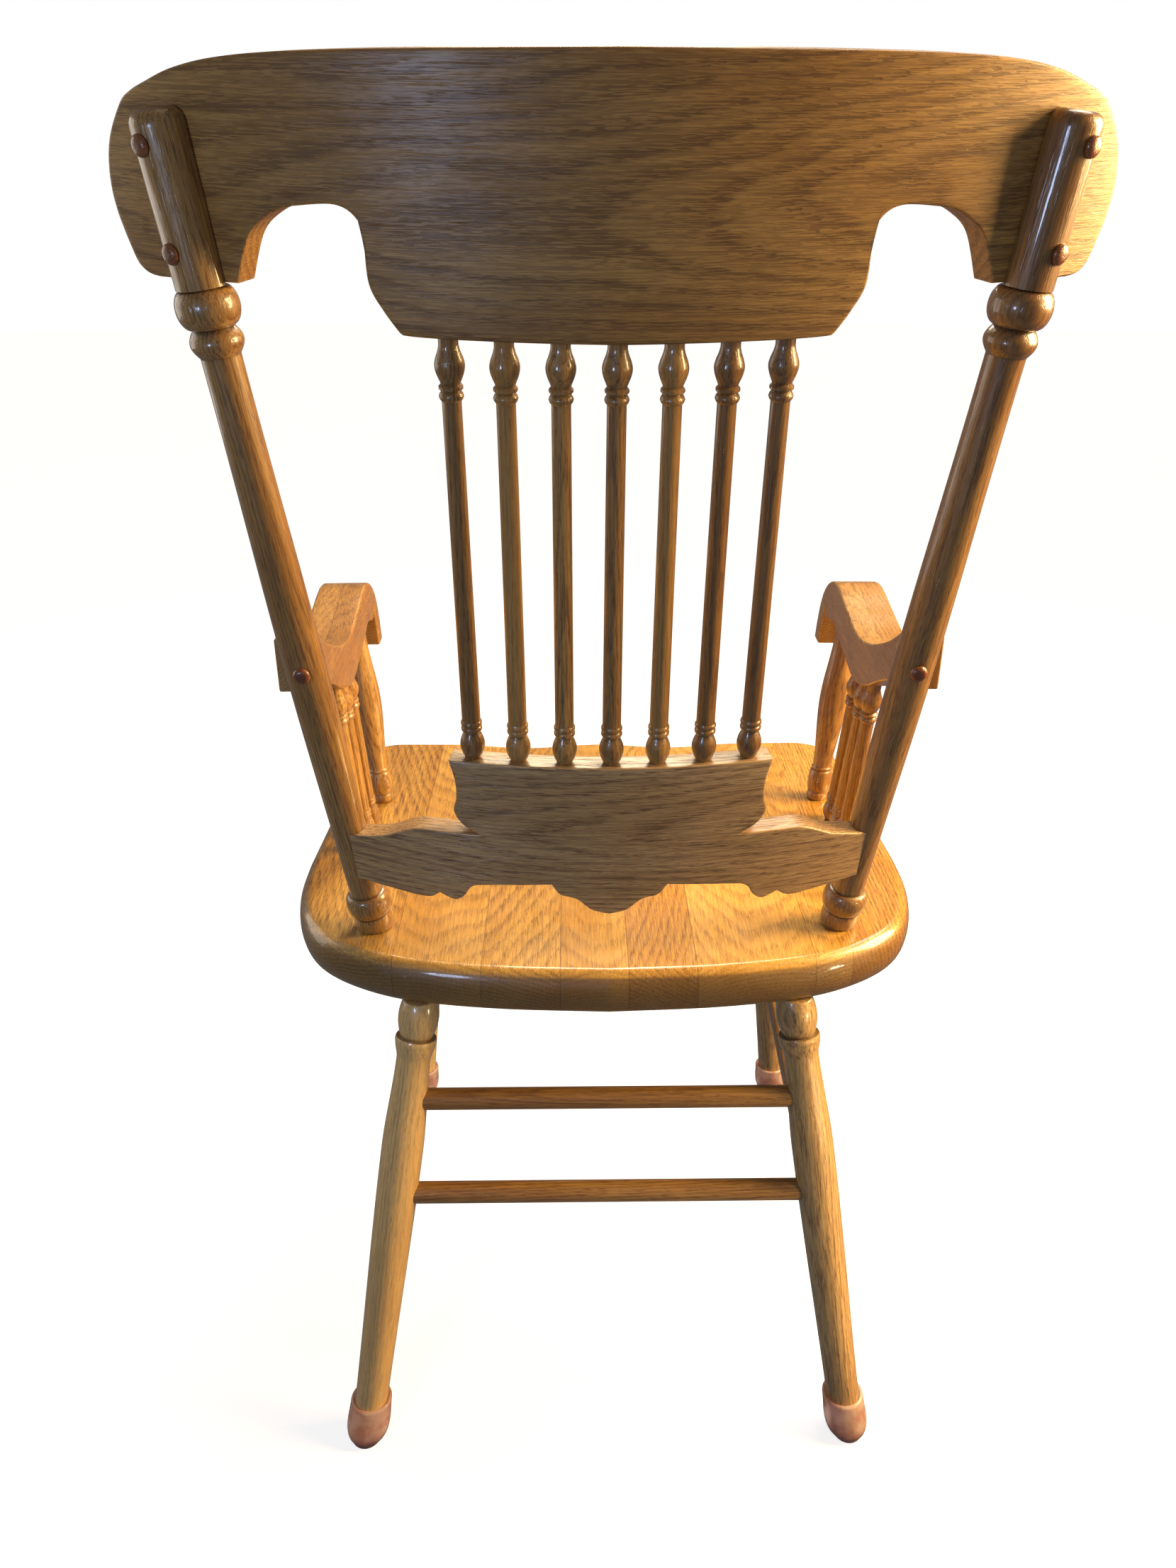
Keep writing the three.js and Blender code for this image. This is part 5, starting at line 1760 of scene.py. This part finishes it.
@dataclass(frozen=True)
class PostTurning:
    """The turning of a back post."""

    foot_ring_length: float = 0.016
    foot_ring_radius: float = 0.0162
    foot_ball_length: float = 0.022
    foot_ball_radius: float = 0.0188
    foot_neck_radius: float = 0.0135
    foot_draw: float = 0.93
    swell_length: float = 0.202
    swell_radius: float = 0.0153
    taper_length: float = 0.2356
    wrist_radius: float = 0.013
    upper_ring_length: float = 0.0174
    upper_ring_radius: float = 0.0172
    upper_ball_length: float = 0.024
    upper_ball_radius: float = 0.0202
    lap_length: float = 0.097
    lap_radius: float = 0.0165
    top_round: float = 0.008

    def profile(self) -> Array:
        """The profile of a post, from the seat up."""
        cuts = (
            Turned(Cut.BEAD, self.foot_ring_length, self.foot_ring_radius),
            Turned(Cut.TAPER, 0.0, self.foot_neck_radius),
            Turned(Cut.BALL, self.foot_ball_length, self.foot_ball_radius),
            Turned(Cut.EASE, self.swell_length, self.swell_radius),
            Turned(Cut.EASE, self.taper_length, self.wrist_radius),
            Turned(Cut.BEAD, self.upper_ring_length, self.upper_ring_radius),
            Turned(Cut.BALL, self.upper_ball_length, self.upper_ball_radius),
            Turned(Cut.TAPER, 0.0, self.lap_radius),
            Turned(Cut.TAPER, self.lap_length - self.top_round, self.lap_radius),
            Turned(Cut.ROUND, self.top_round, self.lap_radius - self.top_round),
        )
        return turned_profile(self.foot_ring_radius * self.foot_draw, cuts)


@dataclass
class BackPosts:
    """Two posts, flatted where the crest laps on them, with plugs over their screws."""

    datum: Datum
    finishes: Finishes
    turning: PostTurning
    rails: BackRails
    lap_angle: float = 0.447
    lap_shoulder_gap: float = 0.0015
    ear_share: float = 0.166
    plug_head_radius: float = 0.00635
    plug_head_height: float = 0.0032
    plug_crown_share: float = 0.3
    plug_shank_radius: float = 0.0047
    plug_shank_length: float = 0.007
    crest_screw_heights: tuple[float, float] = (1.044, 0.987)
    crest_screw_angle: float = 0.594
    arm_screw_height: float = 0.704
    tones: tuple[float, float] = (-0.34, -0.1)
    grain: Sawn = Sawn((0.3, 0.03, 0.04), (1.7, 0.0, 0.012))
    spin: float = 0.4
    turns: int = 72
    plug_grain: tuple[float, float] = (0.004, 0.006)
    plug_turns: int = 40

    def lapped(self, side: Side, placing: Placing) -> Placing:
        """Planes the front of a post flat where the crest rests on it.

        A point above the shoulder that lies in front of the lap's plane is moved square to the
        plane and onto it.

        Args:
            side: Which post it is.
            placing: How the whole post is placed.

        Returns:
            The new placing.
        """
        datum = self.datum
        turn = side.value * self.lap_angle
        lean = datum.back_lean
        rearwards = np.array([0.0, math.cos(lean), -math.sin(lean)])
        square = np.array([math.sin(turn), 0.0, 0.0]) + math.cos(turn) * rearwards
        up = np.array([0.0, math.sin(lean), math.cos(lean)])
        across = turn * datum.rail_bend_radius
        ear_bottom = self.rails.crest_bottom + self.rails.crest_height * self.ear_share
        rest = datum.bent(np.array([across, datum.rail_thickness / 2 + FIT, 0.0]))
        base = datum.point(0, datum.back_base_y, datum.seat_height)

        def planed(local: Array) -> Array:
            """The placed points, none in front of the lap."""
            placed = placing(local)
            front = (placed - rest) @ square
            rise = (placed - base) @ up
            deep = np.where((rise > ear_bottom - self.lap_shoulder_gap) & (front < 0), front, 0.0)
            return placed - deep[..., None] * square

        return planed

    def build_plug(
        self, name: str, side: Side, height: float, angle: float, surface_radius: float
    ) -> None:
        """Sets a domed plug on a post.

        Args:
            name: The node that it stands for.
            side: Which post it is on.
            height: Its height over the floor.
            angle: How far from straight back it faces, turned outwards.
            surface_radius: The radius of the post there.
        """
        foot, along = self.datum.post_axis(side)
        middle = foot + along * (height - self.datum.seat_height) / along[2]
        wanted = np.array([side.value * math.sin(angle), math.cos(angle), 0.0])
        outward = wanted - along * (wanted @ along)
        outward /= np.linalg.norm(outward)
        cuts = (
            Turned(Cut.TAPER, self.plug_shank_length, self.plug_shank_radius),
            Turned(Cut.TAPER, 0.0, self.plug_head_radius),
            Turned(Cut.ROUND, self.plug_head_height, self.plug_head_radius * self.plug_crown_share),
        )
        profile = turned_profile(self.plug_shank_radius, cuts)
        start = middle + outward * (surface_radius + FIT - self.plug_shank_length)
        placing, grain = aimed(start, outward), (height, *self.plug_grain)
        oak, turns = self.finishes.plug, self.plug_turns
        turned_piece(name, "domed", profile, placing, grain, oak, turns, slot="plug_oak")

    def build(self) -> None:
        """Builds both posts, their plugs, and the finish of their hidden screws."""
        profile = self.turning.profile()
        for number, side in enumerate(Side):
            placing = aimed(*self.datum.post_axis(side), self.spin + number)
            placing = level_between(placing, low=self.datum.seat_height + FIT)
            placing = self.lapped(side, placing)
            name, oak = f"back_post_{side.word}", self.finishes.turned
            grain, tone = self.grain.at(number), self.tones[number]
            turned_piece(name, "turned", profile, placing, grain, oak, self.turns, tone=tone)
            for word, height in zip(("upper", "lower"), self.crest_screw_heights):
                name = f"plug_{side.word}_{word}"
                self.build_plug(name, side, height, self.crest_screw_angle, self.turning.lap_radius)
            name = f"plug_{side.word}_arm"
            self.build_plug(name, side, self.arm_screw_height, 0.0, self.turning.swell_radius)
            for word in ("upper", "lower", "arm"):
                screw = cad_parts[f"screw_{side.word}_{word}"]
                for slot in screw.material_slots:
                    slot.material = self.finishes.steel
                log.info("%s keeps its packed shape", screw.name)


# The arms

ARM_RUNS: tuple[Run, ...] = (
    (
        (0, 1), (0.083, 0.869), (0.187, 0.742), (0.303, 0.631), (0.427, 0.575),
        (0.565, 0.623), (0.675, 0.676), (0.749, 0.69), (0.826, 0.643), (0.895, 0.533),
        (0.945, 0.377), (0.978, 0.19), (1, 0),
    ),
    ((1, 0), (0.942, 0)),
    ((0.942, 0), (0.915, 0.18), (0.89, 0.32), (0.882, 0.385)),
    (
        (0.882, 0.385), (0.845, 0.318), (0.79, 0.35), (0.735, 0.378), (0.66, 0.33),
        (0.55, 0.285), (0.44, 0.235), (0.36, 0.26), (0.26, 0.355), (0.165, 0.485),
        (0.05, 0.625), (0, 0.66),
    ),
)


@dataclass
class ArmRests:
    """Sawn arms with a rolled front, each on a turned post and three spindles."""

    datum: Datum
    finishes: Finishes
    turning: SpindleTurning
    post_profile: Array
    rear_y: float = 0.160
    front_y: float = -0.203
    inner_offset: float = 0.2265
    toe_in: float = 0.0345
    lowest: float = 0.599
    rise: float = 0.122
    width: float = 0.044
    rear_width: float = 0.031
    taper_start_y: float = -0.010
    edge_round: float = 0.0022
    reach_to_post: float = 0.012
    top_split: float = 0.18
    side_runs: tuple[Run, ...] = ARM_RUNS
    top_steps: int = 120
    roll_steps: int = 20
    end_steps: int = 8
    post_foot: tuple[float, float] = (0.227, -0.097)
    post_head: tuple[float, float] = (0.244, -0.103)
    foot_ring_length: float = 0.009
    foot_ring_radius: float = 0.0106
    foot_draw: float = 0.9
    foot_bulb_length: float = 0.024
    foot_bulb_radius: float = 0.012
    ankle_radius: float = 0.0096
    ankle_length: float = 0.004
    swell_length: float = 0.074
    swell_radius: float = 0.0143
    taper_length: float = 0.066
    wrist_radius: float = 0.0102
    spindle_foot_x: float = 0.2325
    spindle_head_x: float = 0.2365
    spindle_foot_ys: tuple[float, float, float] = (-0.048, -0.019, 0.010)
    spindle_head_ys: tuple[float, float, float] = (-0.008, 0.020, 0.047)
    spindle_buried: float = 0.004
    arm_grain: Sawn = Sawn((0.5, 0.0, -0.62), (1.0, 0.0, 0.0))
    post_grain: Sawn = Sawn((2.2, 0.024, 0.03), (1.0, 0.0, 0.0))
    post_spin: float = 0.8
    post_turns: int = 44
    spindle_grain: Sawn = Sawn((0.0, 0.018, 0.03), (0.8, 0.0, 0.0))
    spindle_turns: int = 36

    def runs(self) -> list[Array]:
        """The side outline's runs in real sizes: top, lip, inside of the roll and underside."""
        size = (self.front_y - self.rear_y, self.rise)
        return traced(self.side_runs, size, (self.rear_y, self.lowest))

    def underside_at(self, along: float) -> float:
        """The height of the arm's underside over a place along it.

        Args:
            along: The place.

        Returns:
            The height.
        """
        underside = self.runs()[3]
        order = np.argsort(underside[:, 0])
        return float(np.interp(along, underside[order, 0], underside[order, 1]))

    def placing(self, side: Side) -> Placing:
        """How an arm is thinned towards the rear, turned in and set on its side of the chair.

        Args:
            side: Which arm it is.

        Returns:
            The placing, coped round the back post.
        """
        turn = math.atan(self.toe_in)
        origin = self.datum.origin_y

        def place(local: Array) -> Array:
            """The arm's points, given as across from the inner face, along and up."""
            across, along, height = np.moveaxis(local, -1, 0)
            share = np.clip((along - self.taper_start_y) / (self.rear_y - self.taper_start_y), 0, 1)
            thin = across * (1 - share * (1 - self.rear_width / self.width))
            x = thin * math.cos(turn) - along * math.sin(turn) + self.inner_offset
            y = thin * math.sin(turn) + along * math.cos(turn) + origin
            return np.stack([side.value * x, y, height], axis=-1)

        return coped(place, *self.datum.post_axis(side), self.post_profile)

    def build_arm(self, side: Side) -> None:
        """Builds one arm between its underside and its top.

        Args:
            side: Which arm it is.
        """
        top, lip, inside, under = self.runs()
        forward = np.array([self.reach_to_post, 0.0])
        top = np.concatenate([[top[0] + forward], top])
        under = np.concatenate([under, [under[-1] + forward]])
        top = paced(top, (self.top_steps, self.roll_steps), (1 - self.top_split,))
        lip, inside = paced(lip, (self.end_steps,)), paced(inside, (self.roll_steps,))
        under = paced(under, (self.top_steps,))
        rear = paced(np.stack([under[-1], top[0]]), (self.end_steps,))
        outline = Outline({"top": top, "lip": lip, "inside": inside, "under": under, "rear": rear})
        skin = Skin(f"arm_{side.word}_sawn")
        band, worn = edge_band(outline, self.width, self.edge_round)
        skin.add(band[..., [2, 0, 1]] + (self.width / 2, 0, 0), worn, wrap=True)
        loop = outline.loop - self.edge_round * outline.normals()
        face = coons(
            outline.stretch(loop, "inside", "under", back=True),
            outline.stretch(loop, "top"),
            outline.stretch(loop, "rear"),
            outline.stretch(loop, "lip", back=True),
        )
        for depth in (0.0, self.width):
            skin.add(np.concatenate([np.full(face.shape[:2] + (1,), depth), face], axis=2))
        grain = self.arm_grain.at(side.value)
        piece = skin.finish(self.placing(side), (1, 0, 2), grain)
        dress(piece, self.finishes.arm, OAK, f"arm_{side.word}")

    def build_post(self, side: Side) -> None:
        """Turns the post under the front of an arm.

        Args:
            side: Which arm it carries.
        """
        height = self.datum.seat_height
        top = self.underside_at(self.post_head[1])
        foot = self.datum.point(side.value * self.post_foot[0], self.post_foot[1], height)
        head = self.datum.point(side.value * self.post_head[0], self.post_head[1], top)
        length = float(np.linalg.norm(head - foot))
        used = self.foot_ring_length + self.foot_bulb_length + self.ankle_length
        used += self.swell_length + self.taper_length
        cuts = (
            Turned(Cut.BEAD, self.foot_ring_length, self.foot_ring_radius),
            Turned(Cut.TAPER, 0.0, self.ankle_radius),
            Turned(Cut.BALL, self.foot_bulb_length, self.foot_bulb_radius),
            Turned(Cut.BEAD, self.ankle_length, self.foot_ring_radius),
            Turned(Cut.EASE, self.swell_length, self.swell_radius),
            Turned(Cut.EASE, self.taper_length, self.wrist_radius),
            Turned(Cut.TAPER, length - used + self.edge_round, self.wrist_radius),
        )
        profile = turned_profile(self.foot_ring_radius * self.foot_draw, cuts)
        placing = aimed(foot, (head - foot) / length, self.post_spin)
        placing = level_between(placing, low=height + FIT)
        name, oak = f"arm_post_{side.word}", self.finishes.turned
        grain = self.post_grain.at(side.value)
        turned_piece(name, "turned", profile, placing, grain, oak, self.post_turns)

    def build_spindles(self, side: Side) -> None:
        """Turns the three spindles under an arm.

        Args:
            side: Which arm they carry.
        """
        height = self.datum.seat_height
        for number, (foot_y, head_y) in enumerate(zip(self.spindle_foot_ys, self.spindle_head_ys)):
            foot = self.datum.point(side.value * self.spindle_foot_x, foot_y, height)
            top = self.underside_at(head_y)
            head = self.datum.point(side.value * self.spindle_head_x, head_y, top)
            length = float(np.linalg.norm(head - foot))
            along = (head - foot) / length
            profile = self.turning.profile(length, self.spindle_buried)
            start = foot - along * self.spindle_buried
            placing = level_between(aimed(start, along, number), low=height + FIT)
            grain = self.spindle_grain.at(number) + (side.value, 0, 0)
            name, oak = f"arm_spindle_{side.word}_{number + 1}", self.finishes.turned
            turned_piece(name, "turned", profile, placing, grain, oak, self.spindle_turns)

    def build(self) -> None:
        """Builds both arms and what carries them."""
        for side in Side:
            self.build_arm(side)
            self.build_post(side)
            self.build_spindles(side)


# The studio


class LampKind(Enum):
    """The kinds of lamp in the studio."""

    SUN = "SUN"
    AREA = "AREA"
    SPOT = "SPOT"


@dataclass(frozen=True)
class Lamp:
    """A lamp of the studio.

    Args:
        name: The lamp's name.
        kind: Its kind.
        place: Where it hangs.
        power: Its power.
        colour: Its colour.
        shape: Its size, and what else its kind needs.
    """

    name: str
    kind: LampKind
    place: tuple[float, float, float]
    power: float
    colour: Colour
    shape: dict[str, object]


LOW_SPOT = {"spot_size": math.radians(26), "spot_blend": 1.0, "shadow_soft_size": 0.12}
SUN_SHAPE = {"angle": math.radians(32)}
DISK = {"shape": "DISK", "size": 0.3}
LAMPS = (
    Lamp("ceiling", LampKind.SUN, (-1.4, -2.4, 4.2), 1.9, (255, 238, 212), SUN_SHAPE),
    Lamp("warm_lamp", LampKind.AREA, (-1.5, 0.06, 1.25), 92.0, (255, 218, 150), {"size": 0.9}),
    Lamp("low_lamp", LampKind.SPOT, (-1.25, 1.0, 0.3), 64.0, (255, 226, 176), LOW_SPOT),
    Lamp("side_fill", LampKind.AREA, (1.9, -0.5, 1.0), 11.0, (255, 244, 230), {"size": 1.4}),
    Lamp("seat_fill", LampKind.AREA, (0.0, -0.7, 1.55), 7.0, (255, 240, 206), {"size": 0.4}),
    Lamp("window", LampKind.AREA, (0.75, 1.55, 0.88), 5.0, (196, 216, 255), DISK),
)


@dataclass
class Studio:
    """A pale floor and backdrop, soft light and the camera."""

    datum: Datum
    reach: float = 14.0
    dome_steps: int = 48
    round_steps: int = 64
    floor_colour: Colour = (165, 165, 165)
    floor_glow: float = 0.8
    backdrop_colour: Colour = (0, 0, 0)
    backdrop_glow: float = 1.0
    nearest_seen: float = 0.05
    lamps: tuple[Lamp, ...] = LAMPS
    world_colour: tuple[float, float, float, float] = (0.86, 0.93, 1.0, 1.0)
    world_strength: float = 0.13
    camera_place: tuple[float, float, float] = (0.0278, 1.0162, 0.9974)
    pitch: float = math.radians(25.19)
    yaw: float = math.radians(-0.76)
    roll: float = math.radians(-0.03)
    focal_pixels: float = 1661.4
    sensor: float = 36.0
    low_lamp_dip: float = 0.12

    def pale(
        self, name: str, grid: Array, colour: Colour, glow: float, clear_below: bool = False
    ) -> bpy.types.Object:
        """Makes a piece of the set, pale to the camera, that throws no light on the chair.

        Args:
            name: The name of the object.
            grid: Its points, with columns round the upright axis.
            colour: The colour of its paint.
            glow: How bright it is without any lamp.
            clear_below: Whether it faces up and is clear to a camera that looks up from under it.

        Returns:
            The finished piece.
        """
        skin = Skin(name)
        skin.add(grid, wrap=True)
        piece = skin.finish(lambda local: local, (0, 1, 2), (0, 0, 0))
        material, tree, shader = new_material(name)
        settings = {
            "Base Color": rgba(colour),
            "Roughness": 0.9,
            "Specular IOR Level": 0.1,
            "Emission Color": (1.0, 1.0, 1.0, 1.0),
            "Emission Strength": glow,
        }
        tree.feed(shader.inputs, settings)
        if clear_below:
            if piece.data.polygons[0].normal.z < 0:
                piece.data.flip_normals()
            behind = tree.add("ShaderNodeNewGeometry")["Backfacing"]
            clear = tree.add("ShaderNodeBsdfTransparent")[0]
            either = tree.add("ShaderNodeMixShader", {0: behind, 1: shader.outputs[0], 2: clear})
            tree.feed(material.node_tree.nodes["Material Output"].inputs, {"Surface": either[0]})
        piece.data.materials.append(material)
        piece.visible_diffuse = False
        piece.visible_glossy = False
        return piece

    def set(self) -> None:
        """Lays the floor and hangs the backdrop round it."""
        ring = np.array([[0.0, 0.0], [self.reach / 2, 0.0], [self.reach, 0.0]])
        floor = revolved(ring, self.round_steps)
        self.pale("studio_floor", floor, self.floor_colour, self.floor_glow, clear_below=True)
        turn = np.linspace(-math.pi / 2, math.pi / 2, self.dome_steps)
        arc = self.reach * np.stack([np.cos(turn), np.sin(turn)], axis=1)
        dome = revolved(arc, self.round_steps)
        paint, glow = self.backdrop_colour, self.backdrop_glow
        backdrop = self.pale("studio_backdrop", dome, paint, glow)
        backdrop.visible_shadow = False

    def hang(self, lamp: Lamp) -> None:
        """Hangs a lamp that faces the seat, or the legs where it hangs below the seat.

        Args:
            lamp: The lamp.
        """
        data = bpy.data.lights.new(lamp.name, lamp.kind.value)
        data.energy = lamp.power
        data.color = rgba(lamp.colour)[:3]
        for name, value in lamp.shape.items():
            setattr(data, name, value)
        hung = bpy.data.objects.new(lamp.name, data)
        hung.location = lamp.place
        height = min(self.datum.seat_height, lamp.place[2] - self.low_lamp_dip)
        aim = Vector((0, 0, height)) - Vector(lamp.place)
        hung.rotation_euler = aim.to_track_quat("-Z", "Y").to_euler()
        bpy.context.scene.collection.objects.link(hung)

    def lights(self) -> None:
        """Lights the chair.

        A warm sun shines from above and in front, and a warm lamp from the side of -X, with a spot
        on the rear legs under it. Two weak lamps fill the other side and the front of the seat,
        and a small cool one behind stands for a window.
        """
        for lamp in self.lamps:
            self.hang(lamp)
        world = bpy.data.worlds.new("studio")
        world.use_nodes = True
        background = world.node_tree.nodes["Background"]
        background.inputs["Color"].default_value = self.world_colour
        background.inputs["Strength"].default_value = self.world_strength
        bpy.context.scene.world = world

    def camera(self) -> None:
        """Sets up the camera.

        It looks along the pitch and yaw, its right hand is level, and both are then rolled.
        """
        forward = Vector(
            (
                math.sin(self.yaw) * math.cos(self.pitch),
                -math.cos(self.yaw) * math.cos(self.pitch),
                -math.sin(self.pitch),
            )
        )
        level = Vector((-math.cos(self.yaw), -math.sin(self.yaw), 0))
        below = forward.cross(level)
        right = level * math.cos(self.roll) + below * math.sin(self.roll)
        down = below * math.cos(self.roll) - level * math.sin(self.roll)
        data = bpy.data.cameras.new("photo_camera")
        data.sensor_fit = "VERTICAL"
        data.sensor_height = self.sensor
        data.lens = self.sensor * self.focal_pixels / PHOTO_HEIGHT
        data.clip_start = self.nearest_seen
        camera = bpy.data.objects.new("photo_camera", data)
        turn = Matrix((right, -down, -forward)).transposed().to_4x4()
        x, y, z = self.camera_place
        camera.matrix_world = Matrix.Translation(Vector(self.datum.point(x, y, z))) @ turn
        bpy.context.scene.collection.objects.link(camera)
        bpy.context.scene.camera = camera

    def build(self) -> None:
        """Builds the studio."""
        self.set()
        self.lights()
        self.camera()
        bpy.context.scene.view_settings.view_transform = "Standard"


def main() -> None:
    """Builds the chair piece by piece, then the studio round it."""
    logging.basicConfig(level=logging.INFO, format="%(name)s: %(message)s")
    datum = Datum()
    finishes = Finishes()
    turning = SpindleTurning()
    post_turning = PostTurning()
    post_profile = post_turning.profile()
    rails = BackRails(datum, finishes, post_profile)
    parts = (
        SeatPlank(datum, finishes),
        LegSet(datum, finishes),
        rails,
        BackSpindles(datum, finishes, rails, turning),
        BackPosts(datum, finishes, post_turning, rails),
        ArmRests(datum, finishes, turning, post_profile),
        Studio(datum),
    )
    for part in parts:
        log.info("building %s", type(part).__name__)
        part.build()


if __name__ == "__main__":
    main()
